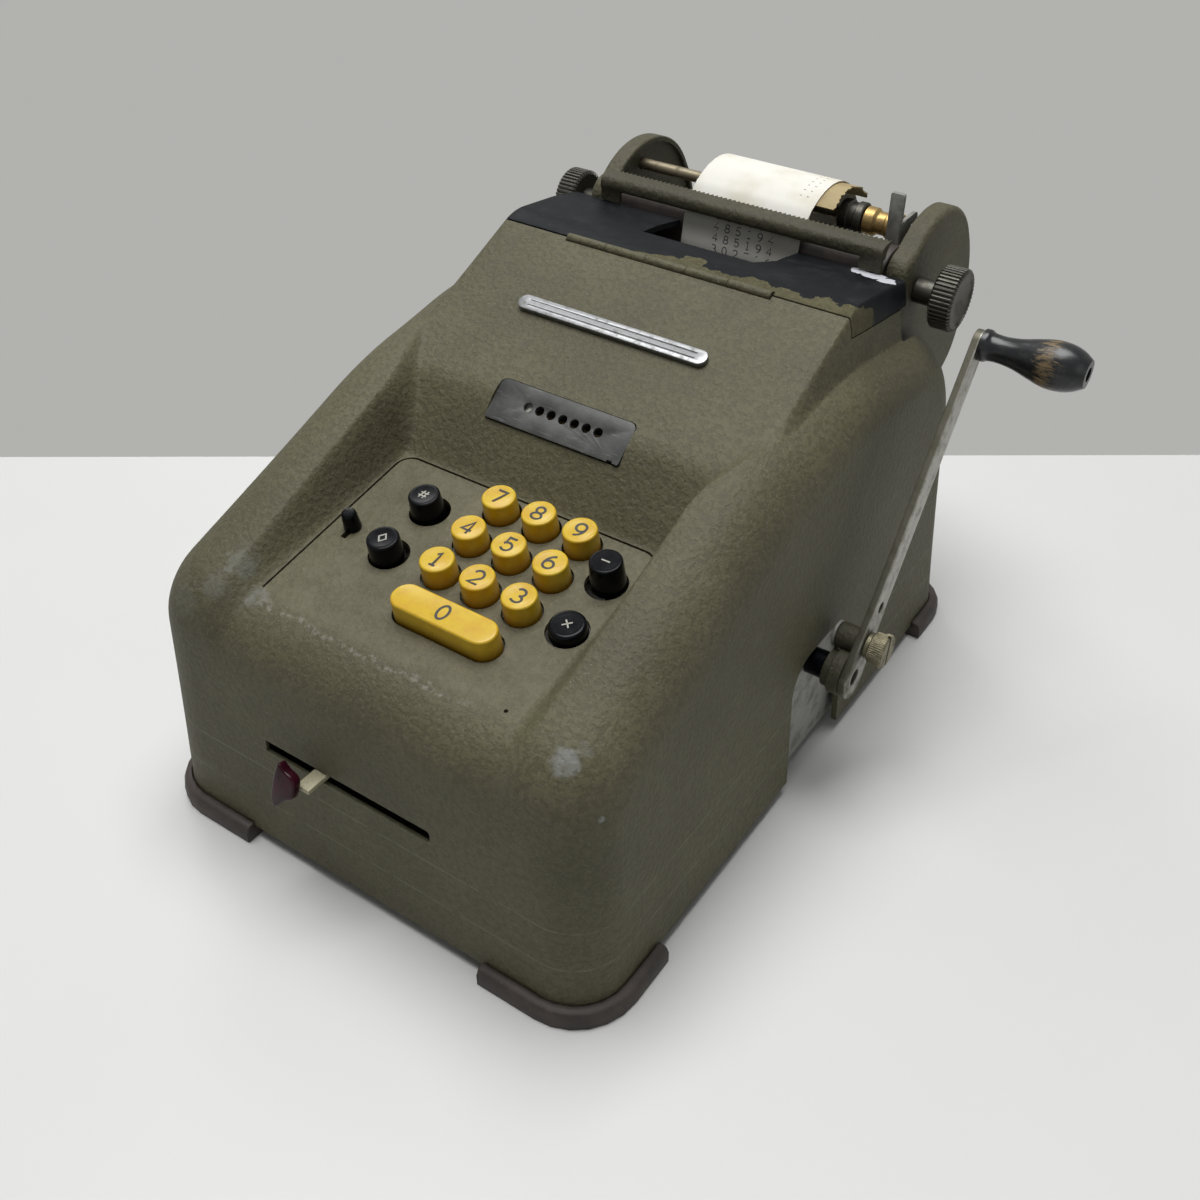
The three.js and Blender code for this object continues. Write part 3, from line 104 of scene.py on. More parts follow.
def solid(name, parts, smooth=32, matrix=None):
    """One object from several (points, faces) parts, given in millimetres."""
    points, faces = [], []
    for part_points, part_faces in parts:
        start = len(points)
        points += [Vector(p) for p in part_points]
        faces += [[i + start for i in face] for face in part_faces]
    if matrix is not None:
        points = [matrix @ p for p in points]
    mesh = bpy.data.meshes.new(name)
    mesh.from_pydata([place(p) for p in points], [], faces)
    clean(mesh, smooth)
    return link(name, mesh)


def settle(piece, smooth=32):
    """Applies the piece's modifiers."""
    bpy.context.view_layer.update()
    graph = bpy.context.evaluated_depsgraph_get()
    mesh = bpy.data.meshes.new_from_object(piece.evaluated_get(graph), depsgraph=graph)
    piece.modifiers.clear()
    piece.data = mesh
    clean(mesh, smooth)
    return piece


def combine(piece, others, operation="DIFFERENCE", smooth=32):
    """Cuts the other objects out of the piece, or joins or intersects them, and removes them."""
    for other in others:
        step = piece.modifiers.new("step", "BOOLEAN")
        step.operation = operation
        step.solver = "EXACT"
        step.object = other
    settle(piece, smooth)
    for other in others:
        bpy.data.objects.remove(other)
    return piece


def soften(piece, width, segments=2, angle=35, smooth=32):
    step = piece.modifiers.new("edge", "BEVEL")
    step.width = width * MM
    step.segments = segments
    step.limit_method = "ANGLE"
    step.angle_limit = math.radians(angle)
    step.use_clamp_overlap = True
    return settle(piece, smooth)


def skin(rows, rings=True, ends=True):
    """Faces between rows of equal length; rings close each row on itself, ends cap the first and last."""
    points = [p for row in rows for p in row]
    width = len(rows[0])
    across = width if rings else width - 1
    faces = []
    for i in range(len(rows) - 1):
        for j in range(across):
            a = i * width + j
            b = i * width + (j + 1) % width
            faces.append([a, b, b + width, a + width])
    if ends:
        faces.append(list(range(width))[::-1])
        faces.append([(len(rows) - 1) * width + j for j in range(width)])
    return points, faces


def block(x0, x1, y0, y1, z0, z1):
    low = [(x0, y0, z0), (x1, y0, z0), (x1, y1, z0), (x0, y1, z0)]
    high = [(x, y, z1) for x, y, _ in low]
    return skin([low, high])


def prism(outline, low, high, axis):
    """A plate from a flat outline: its two numbers are the other two axes, in the order X, Y, Z."""
    spread = {
        "X": lambda u, v, w: (w, u, v),
        "Y": lambda u, v, w: (u, w, v),
        "Z": lambda u, v, w: (u, v, w),
    }[axis]
    return skin([[spread(u, v, w) for u, v in outline] for w in (low, high)])


def turned(profile, axis=(0.0, 0.0), steps=64, along="X"):
    """A turned piece from (distance along, radius) pairs about a line through the two other numbers."""
    rows = []
    for distance, radius in profile:
        row = []
        for k in range(steps):
            angle = 2 * math.pi * k / steps
            u = axis[0] + max(radius, 1e-4) * math.cos(angle)
            v = axis[1] + max(radius, 1e-4) * math.sin(angle)
            row.append((distance, u, v) if along == "X" else (u, v, distance))
        rows.append(row)
    return skin(rows)


def disc(x0, x1, radius, edge=0.3):
    """The profile of a solid roller with softened edges."""
    middle = [(x0 + edge, radius), (x1 - edge, radius)]
    return [(x0, 0), (x0, radius - edge), *middle, (x1, radius - edge), (x1, 0)]


def tube(name, profile, axis, steps=48):
    """A turned sleeve: the profile closes on itself along its bore."""
    rows = []
    for k in range(steps + 1):
        angle = 2 * math.pi * k / steps
        rows.append([(x, axis[0] + r * math.cos(angle), axis[1] + r * math.sin(angle)) for x, r in profile])
    return solid(name, [skin(rows, rings=True, ends=False)])


def drill(start, end, radius, axis, steps=32, along="X", matrix=None):
    """A round cutter between two places along an axis."""
    return solid("drill", [turned([(start, radius), (end, radius)], axis, steps, along)], matrix=matrix)


def arc(centre, radius, start, end, steps):
    """Points on an arc between two angles in degrees; radius may be a pair."""
    ru, rv = radius if isinstance(radius, tuple) else (radius, radius)
    points = []
    for k in range(steps + 1):
        angle = math.radians(start + (end - start) * k / steps)
        points.append((centre[0] + ru * math.cos(angle), centre[1] + rv * math.sin(angle)))
    return points


def rounded(u0, u1, v0, v1, radius, steps=6):
    """A rectangle with rounded corners; radius may be a list with one for each corner."""
    radii = radius if isinstance(radius, (list, tuple)) else [radius] * 4
    r = [max(value, 0.01) for value in radii]
    return (
        arc((u0 + r[0], v0 + r[0]), r[0], 180, 270, steps)
        + arc((u1 - r[1], v0 + r[1]), r[1], 270, 360, steps)
        + arc((u1 - r[2], v1 - r[2]), r[2], 0, 90, steps)
        + arc((u0 + r[3], v1 - r[3]), r[3], 90, 180, steps)
    )


def stadium(length, width, x, y, steps=20):
    reach = (length - width) / 2
    radius = width / 2
    return arc((x + reach, y), radius, -90, 90, steps) + arc((x - reach, y), radius, 90, 270, steps)


def curve(start, control, end, steps=8):
    """Points along a quadratic curve, without its first point."""
    points = []
    for k in range(1, steps + 1):
        t = k / steps
        weights = ((1 - t) ** 2, 2 * t * (1 - t), t * t)
        pairs = list(zip(weights, (start, control, end)))
        points.append(tuple(sum(w * p[i] for w, p in pairs) for i in (0, 1)))
    return points


def tilted(x, y, z, angle):
    """A frame at a place, turned about X by an angle in radians."""
    return Matrix.Translation((x, y, z)) @ Matrix.Rotation(angle, 4, "X")


def smoothstep(value, low, high):
    t = min(max((value - low) / (high - low), 0.0), 1.0)
    return t * t * (3 - 2 * t)


def mix(a, b, share):
    return a + (b - a) * share


# Materials: each look is a Principled shader fed by a few procedural textures.
class Look:
    """Builds a node material. Texture scales are given as the size of a feature in millimetres."""

    def __init__(self, name):
        self.material = bpy.data.materials.new(name)
        self.material.use_nodes = True
        self.nodes = self.material.node_tree.nodes
        self.links = self.material.node_tree.links
        self.shader = self.nodes["Principled BSDF"]
        self.coordinates = self.nodes.new("ShaderNodeTexCoord").outputs["Object"]

    def wire(self, socket, value):
        if isinstance(value, bpy.types.NodeSocket):
            self.links.new(value, socket)
        elif isinstance(value, (tuple, list)) and len(value) == 3 and len(socket.default_value) == 4:
            socket.default_value = (*value, 1.0)
        else:
            socket.default_value = value

    def noise(self, size, detail=4.0, roughness=0.55, stretch=None):
        node = self.nodes.new("ShaderNodeTexNoise")
        node.inputs["Scale"].default_value = 1000.0 / size
        node.inputs["Detail"].default_value = detail
        node.inputs["Roughness"].default_value = roughness
        self.links.new(self.stretched(stretch), node.inputs["Vector"])
        return node.outputs["Fac"]

    def stretched(self, stretch):
        if stretch is None:
            return self.coordinates
        node = self.nodes.new("ShaderNodeMapping")
        node.inputs["Scale"].default_value = stretch
        self.links.new(self.coordinates, node.inputs["Vector"])
        return node.outputs["Vector"]

    def cells(self, size):
        node = self.nodes.new("ShaderNodeTexVoronoi")
        node.inputs["Scale"].default_value = 1000.0 / size
        self.links.new(self.coordinates, node.inputs["Vector"])
        return node.outputs["Distance"]

    def math(self, operation, a, b=0.0, c=0.0):
        node = self.nodes.new("ShaderNodeMath")
        node.operation = operation
        for socket, value in zip(node.inputs, (a, b, c)):
            self.wire(socket, value)
        return node.outputs[0]

    def times(self, a, b):
        return self.math("MULTIPLY", a, b)

    def scaled(self, value, factor, base):
        """The value times a factor, plus a base."""
        return self.math("MULTIPLY_ADD", value, factor, base)

    def rest(self, share):
        """What a share leaves of 1."""
        return self.math("SUBTRACT", 1.0, share)

    def centred(self, value):
        """A texture's value moved down by a half, so that it lies about 0."""
        return self.math("SUBTRACT", value, 0.5)

    def ramp(self, value, low, high):
        """0 below low, 1 above high, smooth between; low may be the larger one."""
        node = self.nodes.new("ShaderNodeMapRange")
        node.interpolation_type = "SMOOTHSTEP"
        self.wire(node.inputs["Value"], value)
        node.inputs["From Min"].default_value = min(low, high)
        node.inputs["From Max"].default_value = max(low, high)
        node.inputs["To Min"].default_value = 0.0 if low < high else 1.0
        node.inputs["To Max"].default_value = 1.0 if low < high else 0.0
        return node.outputs["Result"]

    def band(self, value, middle, reach, fade):
        """1 where a value lies within reach of the middle, fading to 0 over a further distance."""
        distance = self.math("ABSOLUTE", self.math("SUBTRACT", value, middle))
        return self.ramp(distance, reach + fade, reach)

    def specks(self, size, reach, core, patch, low, high):
        """Round specks of one size, only within the patches of a wider noise."""
        return self.times(self.ramp(self.cells(size), reach, core), self.ramp(self.noise(patch), low, high))

    def blend(self, share, a, b):
        node = self.nodes.new("ShaderNodeMix")
        node.data_type = "RGBA"
        self.wire(node.inputs["Factor"], share)
        self.wire(node.inputs[6], a)
        self.wire(node.inputs[7], b)
        return node.outputs[2]

    def mottled(self, cloud, a, b):
        return self.blend(self.ramp(cloud, 0.35, 0.7), a, b)

    def over(self, colour, layer, share, strength):
        """The colour with a layer over it: the share says where, the strength how much."""
        return self.blend(self.times(share, strength), colour, layer)

    def place_axis(self, axis):
        node = self.nodes.new("ShaderNodeSeparateXYZ")
        self.links.new(self.coordinates, node.inputs[0])
        return node.outputs[axis]

    def spot(self, point, radius, ragged, size):
        """1 near a point given in the machine's frame, 0 beyond the radius, with a ragged edge."""
        node = self.nodes.new("ShaderNodeVectorMath")
        node.operation = "DISTANCE"
        self.links.new(self.coordinates, node.inputs[0])
        node.inputs[1].default_value = place(point)
        wobble = self.times(self.centred(self.noise(size)), ragged * MM)
        distance = self.math("ADD", node.outputs["Value"], wobble)
        return self.ramp(distance, radius * MM, radius * SPOT_CORE * MM)

    def specular(self, level):
        self.shader.inputs["Specular IOR Level"].default_value = level

    def set(self, colour, roughness, bumps=(), metallic=0.0):
        """Feeds the shader; bumps are pairs of a height texture and its depth in millimetres."""
        self.wire(self.shader.inputs["Base Color"], colour)
        self.wire(self.shader.inputs["Roughness"], roughness)
        self.shader.inputs["Metallic"].default_value = metallic
        normal = None
        for height, depth in bumps:
            node = self.nodes.new("ShaderNodeBump")
            node.inputs["Strength"].default_value = 1.0
            node.inputs["Distance"].default_value = depth * MM
            self.links.new(height, node.inputs["Height"])
            if normal is not None:
                self.links.new(normal, node.inputs["Normal"])
            normal = node.outputs["Normal"]
        if normal is not None:
            self.links.new(normal, self.shader.inputs["Normal"])
        return self.material


DECK_SLOPE = math.radians(9.88)
DECK_AT = (66.4, 118.46)
SPOT_CORE = 0.55
OLIVE = (0.112, 0.103, 0.057)
OLIVE_DARK = (0.06, 0.055, 0.031)
OLIVE_PALE = (0.19, 0.18, 0.122)
DUST = (0.42, 0.41, 0.38)
# Heights of the fine lines round the foot of the case.
PALE_STRIPES = (26.0, 45.0)
DARK_STRIPES = (21.0, 30.5, 35.0, 40.0)
# The dusty rectangle on the deck and the flecked line along the front shoulder.
DUSTY_DECK = {"half_width": 60.9, "y": 68.5, "half_depth": 40.0}
WORN_LINE = {"x": -10.0, "half_width": 38.0, "y": 18.5, "wander": 9.0}
# Rubbed marks on the case: place, radius, raggedness, strength.
MARKS = [
    ((87.2, 17.4, 114.4), 6.2, 6.0, 0.5),
    ((101.0, 17.2, 96.8), 1.7, 1.0, 0.6),
    ((90.2, 23.8, 116.7), 3.5, 5.0, 0.15),
    ((-70.8, 28.7, 120.0), 8.0, 13.0, 0.2),
    ((-59.7, 24.1, 110.7), 5.0, 8.0, 0.22),
    ((-73.8, 16.9, 115.3), 7.0, 11.0, 0.14),
    ((-84.6, 10.4, 107.5), 8.0, 12.0, 0.1),
]
# The lid's coating ends along a line that runs forward to the right: where that starts and ends
# across the lid, how far it goes, and how far the line wanders.
COATING_EDGE = {"from": -28.0, "to": 4.0, "y": 210.6, "step": 4.6, "wander": 17.0}
# Places where the coating is off: place, radius, raggedness.
PEELED = [
    ((86.0, 214.0, 182.0), 13.0, 12.0),
    ((84.2, 226.0, 181.6), 6.0, 9.0),
    ((9.0, 216.0, 190.0), 6.0, 9.0),
    ((-88.0, 212.0, 184.0), 7.0, 8.0),
]
# Bare pale chips in the coating: place, radius.
CHIPS = [
    ((64.5, 258.5, 184.3), 5.6),
    ((71.0, 256.5, 184.2), 6.6),
    ((78.0, 254.5, 184.0), 5.8),
]


def paint_parts(look):
    """Colour, roughness and bumps of the crinkle paint."""
    drift = look.ramp(look.noise(60.0, 3.0), 0.35, 0.68)
    grain = look.noise(0.9, 5.0, 0.62)
    wrinkle = look.ramp(look.noise(2.3, 2.0, 0.5), 0.36, 0.62)
    stain = look.ramp(look.noise(16.0, 6.0, 0.65), 0.56, 0.72)
    colour = look.blend(look.scaled(drift, 0.5, 0.45), OLIVE_DARK, OLIVE)
    colour = look.over(colour, OLIVE_DARK, look.rest(wrinkle), 0.5)
    colour = look.over(colour, OLIVE_PALE, look.ramp(grain, 0.5, 0.68), 0.4)
    colour = look.over(colour, OLIVE_PALE, stain, 0.16)
    colour = look.over(colour, DUST, look.specks(2.6, 0.1, 0.045, 9.0, 0.54, 0.62), 0.5)
    look.specular(0.32)
    return colour, look.scaled(grain, 0.25, 0.48), [(wrinkle, 0.15), (grain, 0.14)]


def crinkle_paint(name, grime_and_shade):
    """The plain paint, darkened by a share of painted shade and grime."""
    look = Look(name)
    colour, roughness, bumps = paint_parts(look)
    # Painted shade with some grime: a darker copy of the same paint.
    if grime_and_shade:
        colour = look.blend(grime_and_shade, colour, (0.022, 0.02, 0.014))
    return look.set(colour, roughness, bumps)


def case_paint():
    """The crinkle paint with fine lines round the foot, a dusty deck and a few rubbed marks."""
    look = Look("case_paint")
    colour, roughness, bumps = paint_parts(look)
    across, along, height = (look.place_axis(axis) for axis in range(3))
    broken = look.ramp(look.noise(7.0, 5.0), 0.34, 0.52)
    for heights, tint, share in ((PALE_STRIPES, OLIVE_PALE, 0.6), (DARK_STRIPES, OLIVE_DARK, 0.35)):
        for z in heights:
            line = look.times(look.band(height, z * MM, 0.2 * MM, 0.3 * MM), broken)
            colour = look.over(colour, tint, line, share)
    on_deck = look.times(
        look.band(across, ORIGIN.x, DUSTY_DECK["half_width"] * MM, 0.6 * MM),
        look.band(along, DUSTY_DECK["y"] * MM + ORIGIN.y, DUSTY_DECK["half_depth"] * MM, 6.0 * MM),
    )
    dust = look.scaled(look.ramp(look.noise(11.0, 6.0, 0.65), 0.35, 0.7), 0.35, 0.12)
    colour = look.over(colour, (0.17, 0.152, 0.1), on_deck, dust)
    crumbs = look.times(look.specks(1.7, 0.12, 0.05, 6.0, 0.5, 0.6), on_deck)
    colour = look.over(colour, DUST, crumbs, 0.6)
    wander = look.scaled(look.noise(8.0, 4.0), WORN_LINE["wander"] * MM, WORN_LINE["y"] * MM + ORIGIN.y)
    worn = look.times(
        look.band(along, wander, 0.2 * MM, 1.8 * MM),
        look.band(across, WORN_LINE["x"] * MM + ORIGIN.x, WORN_LINE["half_width"] * MM, 24.0 * MM),
    )
    flecks = look.ramp(look.noise(2.2, 5.0, 0.65), 0.46, 0.6)
    colour = look.over(colour, (0.27, 0.26, 0.22), look.times(worn, flecks), 0.5)
    for point, radius, ragged, strength in MARKS:
        patchy = look.ramp(look.noise(3.0, 6.0), 0.25, 0.55)
        rubbed = look.times(look.spot(point, radius, ragged, 4.0), patchy)
        colour = look.over(colour, (0.3, 0.31, 0.31), rubbed, strength)
    return look.set(colour, roughness, bumps)


def lid_coating():
    """A smooth dark coating, peeled back to the paint along the hinge and at its right end."""
    look = Look("lid_coating")
    paint, _, bumps = paint_parts(look)
    grain = bumps[1][0]
    across, along = look.place_axis(0), look.place_axis(1)
    edge = COATING_EDGE
    to_right = look.ramp(across, edge["from"] * MM + ORIGIN.x, edge["to"] * MM + ORIGIN.x)
    wobble = look.times(look.centred(look.noise(15.0, 5.0, 0.6)), edge["wander"] * MM)
    wobble = look.times(wobble, look.scaled(to_right, 0.8, 0.2))
    border = look.scaled(to_right, edge["step"] * MM, edge["y"] * MM + ORIGIN.y)
    beyond = look.math("SUBTRACT", along, look.math("ADD", border, wobble))
    bare = look.rest(look.ramp(beyond, -0.1 * MM, 0.1 * MM))
    for point, radius, ragged in PEELED:
        bare = look.math("MAXIMUM", bare, look.ramp(look.spot(point, radius, ragged, 7.0), 0.45, 0.55))
    haze = look.noise(14.0, 6.0, 0.65)
    coat = look.blend(look.ramp(haze, 0.48, 0.78), (0.005, 0.006, 0.0078), (0.017, 0.019, 0.021))
    coat = look.over(coat, DUST, look.specks(2.2, 0.1, 0.04, 8.0, 0.5, 0.6), 0.4)
    look.specular(0.12)
    for point, radius in CHIPS:
        chip = look.ramp(look.spot(point, radius, 6.0, 3.5), 0.35, 0.5)
        coat = look.blend(chip, coat, (0.56, 0.57, 0.61))
    roughness = look.scaled(bare, 0.3, look.scaled(haze, 0.35, 0.3))
    bumps = [(look.rest(bare), 0.3), (look.times(grain, bare), 0.11)]
    return look.set(look.blend(bare, coat, paint), roughness, bumps)


def amber_plastic():
    """Mottled amber, with painted shade: darker and browner towards the foot of a key."""
    look = Look("amber_key")
    colour = look.mottled(look.noise(5.0, 4.0), (0.65, 0.44, 0.016), (0.60, 0.36, 0.01))
    grime_and_shade = look.ramp(look.noise(1.6, 6.0, 0.7), 0.55, 0.75)
    colour = look.over(colour, (0.38, 0.2, 0.03), grime_and_shade, 0.35)
    # Painted shade: the key's lower sides darken towards the deck, where shade falls round its foot.
    rise = math.tan(DECK_SLOPE)
    level = look.math("SUBTRACT", look.place_axis(2), look.times(look.place_axis(1), rise))
    deck = DECK_AT[1] * MM - (DECK_AT[0] * MM + ORIGIN.y) * rise
    foot = look.ramp(level, deck + 5.5 * MM, deck - 0.5 * MM)
    colour = look.over(colour, (0.24, 0.105, 0.006), foot, 0.7)
    look.shader.inputs["Subsurface Weight"].default_value = 0.12
    look.shader.inputs["Subsurface Radius"].default_value = (0.003, 0.0015, 0.0004)
    look.shader.inputs["Coat Weight"].default_value = 0.15
    look.shader.inputs["Coat Roughness"].default_value = 0.12
    return look.set(colour, look.scaled(look.noise(2.5, 5.0), 0.22, 0.2), [(look.noise(1.2), 0.02)])


def black_plastic():
    look = Look("black_key")
    wear = look.ramp(look.noise(2.2, 7.0, 0.72), 0.6, 0.78)
    colour = look.over((0.0016, 0.002, 0.0034), (0.02, 0.02, 0.022), wear, 0.35)
    look.specular(0.16)
    return look.set(colour, look.scaled(look.noise(3.0, 5.0), 0.18, 0.12), [(look.noise(0.8), 0.02)])


def window_metal():
    look = Look("window_metal")
    cloud = look.noise(12.0, 6.0, 0.65)
    colour = look.mottled(cloud, (0.045, 0.047, 0.045), (0.088, 0.09, 0.084))
    scratch = look.ramp(look.noise(3.0, 3.0, 0.5, (0.35, 6.0, 6.0)), 0.62, 0.7)
    colour = look.over(colour, (0.24, 0.24, 0.24), scratch, 0.4)
    return look.set(colour, look.scaled(cloud, 0.3, 0.36), [(look.noise(1.0), 0.03)], 0.35)


def metal(name, colour, stained, roughness, patch, metallic=0.9):
    """Dull bare metal with stained patches and fine brushed marks."""
    look = Look(name)
    stain = look.ramp(look.noise(patch, 7.0, 0.68), 0.46, 0.7)
    brushed = look.noise(1.0, 3.0, 0.5, (0.15, 2.4, 2.4))
    rough = look.scaled(brushed, 0.12, look.scaled(stain, 0.3, roughness))
    bumps = [(brushed, 0.02), (look.noise(1.5, 5.0), 0.02)]
    return look.set(look.blend(stain, colour, stained), rough, bumps, metallic)


def aged_rubber():
    look = Look("rubber")
    cloud = look.noise(14.0, 6.0, 0.6)
    colour = look.mottled(cloud, (0.026, 0.019, 0.016), (0.062, 0.047, 0.04))
    rub = look.ramp(look.noise(2.0, 6.0, 0.7), 0.58, 0.72)
    colour = look.over(colour, (0.13, 0.11, 0.095), rub, 0.35)
    return look.set(colour, look.scaled(cloud, 0.25, 0.45), [(look.noise(0.9, 4.0), 0.06)])


def paper(name, colour, aged):
    look = Look(name)
    tint = look.blend(look.ramp(look.noise(18.0, 5.0), 0.4, 0.7), colour, aged)
    fibre = look.noise(0.6, 3.0, 0.6, (1.0, 2.5, 2.5))
    tint = look.over(tint, aged, look.ramp(fibre, 0.5, 0.75), 0.12)
    look.specular(0.2)
    return look.set(tint, 0.85, [(fibre, 0.03)])


def maroon_plastic():
    look = Look("maroon_knob")
    cloud = look.noise(6.0, 4.0)
    colour = look.mottled(cloud, (0.02, 0.0022, 0.006), (0.04, 0.005, 0.011))
    look.specular(0.15)
    return look.set(colour, look.scaled(cloud, 0.2, 0.12), [(look.noise(1.5), 0.02)])


def cream_paint():
    look = Look("cream_lever")
    wear = look.ramp(look.noise(3.0, 7.0, 0.7), 0.5, 0.72)
    colour = look.blend(wear, (0.37, 0.345, 0.225), (0.2, 0.185, 0.14))
    return look.set(colour, look.scaled(wear, 0.2, 0.4), [(look.noise(1.0), 0.04)], 0.1)


# The crank's arm: its plate along X, and the heights over which the paint on its foot fades.
ARM_X = 120.0
ARM_THICK = 3.2
ARM_PAINT_FADE = (92.0, 60.0)
# The thick part of the handle, where its paint is rubbed through.
GRIP_THICK_X = 150.5
GRIP_THICK_REACH = 8.5


def crank_steel():
    """Worn bare steel on the arm's outer face, olive paint on its edges and round its foot."""
    look = Look("crank_steel")
    across, height = look.place_axis(0), look.place_axis(2)
    stain = look.ramp(look.noise(7.0, 7.0, 0.68), 0.45, 0.68)
    bare = look.blend(stain, (0.36, 0.35, 0.315), (0.17, 0.16, 0.125))
    outer = ARM_X + ARM_THICK
    face = look.ramp(across, (outer - 0.8) * MM + ORIGIN.x, (outer - 0.2) * MM + ORIGIN.x)
    low, high = (z * MM for z in ARM_PAINT_FADE)
    foot = look.times(look.ramp(height, low, high), look.ramp(look.noise(9.0, 5.0), 0.3, 0.62))
    painted = look.math("MAXIMUM", look.times(look.rest(face), 0.85), foot)
    colour = look.blend(painted, bare, (0.085, 0.08, 0.055))
    return look.set(colour, look.scaled(painted, 0.15, 0.4), [(look.noise(1.5, 5.0), 0.03)], 0.75)


def painted_wood():
    """Gloss black paint that is rubbed through to tan wood in streaks round the thick part."""
    look = Look("dark_wood")
    streak = look.noise(0.9, 6.0, 0.66, (0.16, 1.0, 1.0))
    wood = look.blend(look.noise(0.7, 5.0, 0.6, (0.12, 1.0, 1.0)), (0.07, 0.047, 0.022), (0.3, 0.21, 0.1))
    thick = look.band(look.place_axis(0), GRIP_THICK_X * MM + ORIGIN.x, 0.0, GRIP_THICK_REACH * MM)
    patch = look.scaled(look.noise(5.0, 4.0), 0.2, look.times(thick, 0.26))
    worn = look.ramp(look.math("ADD", streak, patch), 0.74, 0.92)
    dull = look.ramp(look.noise(4.0, 7.0, 0.72), 0.48, 0.72)
    paint = look.blend(dull, (0.006, 0.007, 0.009), (0.03, 0.032, 0.028))
    colour = look.over(paint, wood, worn, 0.85)
    return look.set(colour, look.scaled(worn, 0.25, 0.28), [(look.rest(worn), 0.04), (streak, 0.04)])


def flat_ink(name, colour):
    look = Look(name)
    faded = tuple(c * 1.6 + 0.02 for c in colour)
    return look.set(look.over(colour, faded, look.noise(0.8, 4.0), 0.5), 0.5)


# Share of painted shade and grime on each painted part: darker copies of the plain paint for the parts that
# lie in more shade.
PAINTS = {"crinkle_paint": 0.0, "shaded_grimy_paint": 0.55, "bracket_paint": 0.2}
# Clean and stained colour, least roughness, size of the stains, and how metallic where it isn't 0.9.
METALS = {
    "bright_trim": ((0.25, 0.255, 0.26), (0.14, 0.14, 0.135), 0.3, 5.0),
    "steel": ((0.38, 0.37, 0.335), (0.2, 0.185, 0.14), 0.32, 9.0),
    "nickel_brass": ((0.22, 0.2, 0.135), (0.11, 0.1, 0.066), 0.45, 4.0),
    "plate_steel": ((0.3, 0.3, 0.275), (0.17, 0.168, 0.145), 0.5, 12.0, 0.35),
    "rod_steel": ((0.27, 0.235, 0.165), (0.15, 0.125, 0.085), 0.4, 7.0),
    "dark_steel": ((0.085, 0.082, 0.07), (0.045, 0.042, 0.034), 0.36, 9.0),
    "brass": ((0.42, 0.29, 0.11), (0.2, 0.14, 0.07), 0.34, 5.0),
}
# Fresh and aged colour.
PAPERS = {
    "white_paper": ((0.80, 0.785, 0.72), (0.70, 0.67, 0.57)),
    "brown_paper": ((0.42, 0.34, 0.19), (0.30, 0.23, 0.12)),
}
INKS = {
    "dark_ink": (0.012, 0.011, 0.01),
    "grey_ink": (0.07, 0.065, 0.07),
    "pale_ink": (0.30, 0.29, 0.25),
}

make_camera()
LOOKS = {
    "case": case_paint(),
    "lid_coating": lid_coating(),
    "amber_key": amber_plastic(),
    "black_key": black_plastic(),
    "window_metal": window_metal(),
    "crank_steel": crank_steel(),
    "rubber": aged_rubber(),
    "maroon_knob": maroon_plastic(),
    "cream_lever": cream_paint(),
    "dark_wood": painted_wood(),
    **{name: crinkle_paint(name, grime_and_shade) for name, grime_and_shade in PAINTS.items()},
    **{name: metal(name, *values) for name, values in METALS.items()},
    **{name: paper(name, *colours) for name, colours in PAPERS.items()},
    **{name: flat_ink(name, colour) for name, colour in INKS.items()},
}


def dress(piece, look, body, nodes=()):
    """Gives a piece its look, the body it rides on and the nodes it stands for."""
    piece.data.materials.clear()
    piece.data.materials.append(LOOKS[look])
    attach(piece, body)
    if nodes:
        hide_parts(*nodes)
    return piece


# Case shell: a skin over rows from wall to wall, between the path of the shoulders and of the middle.
CASE_BOTTOM = 6.0
CASE_WALL = 2.6
CASE_DEPTH = 306.0
FRONT_TOP = 112.6
FRONT_LEAN = 6.8
WALL_LEAN = 0.0454
LEFT_WALL_OUT = 2.4
FRONT_CORNER = 22.0
SHOULDER_RADIUS = 25.0
REAR_CORNER = 16.0
CHEEK = (61.8, 73.0)
STEP = (82.0, 87.4)
BLEND_Y = (112.0, 165.0)
HUB_Y = CASE_DEPTH / 2 - 3
RUN_ON = 10.0
SHOULDER_REAR = (292.0, 156.0)
PANEL_REAR = (209.9, 188.5)
PANEL_SLOPE = 0.4452
HINGE = (210.6, 188.5)
DECK_FRAME = tilted(0, *DECK_AT, DECK_SLOPE)
WINDOW_FRAME = tilted(0, 135.5, 152.6, math.radians(38.5))


def deck_height(y):
    return DECK_AT[1] + (y - DECK_AT[0]) * math.tan(DECK_SLOPE)


def panel_height(y):
    return PANEL_REAR[1] + (y - PANEL_REAR[0]) * PANEL_SLOPE


def rounded_path(corners, steps):
    """A line of (y, z, radius) corners with its corners rounded."""
    path = [Vector(corners[0][:2])]
    for before, here, after in zip(corners, corners[1:], corners[2:]):
        corner = Vector(here[:2])
        back = (Vector(before[:2]) - corner).normalized()
        ahead = (Vector(after[:2]) - corner).normalized()
        half_turn = math.acos(max(-1.0, min(1.0, -back.dot(ahead)))) / 2
        reach = here[2] * math.tan(half_turn)
        start, end = corner + back * reach, corner + ahead * reach
        centre = corner + ((start + end) / 2 - corner).normalized() * math.hypot(reach, here[2])
        first = math.atan2(start.y - centre.y, start.x - centre.x)
        sweep = math.atan2(end.y - centre.y, end.x - centre.x) - first
        sweep = math.atan2(math.sin(sweep), math.cos(sweep))
        for k in range(steps + 1):
            angle = first + sweep * k / steps
            path.append(centre + here[2] * Vector((math.cos(angle), math.sin(angle))))
    path.append(Vector(corners[-1][:2]))
    return path


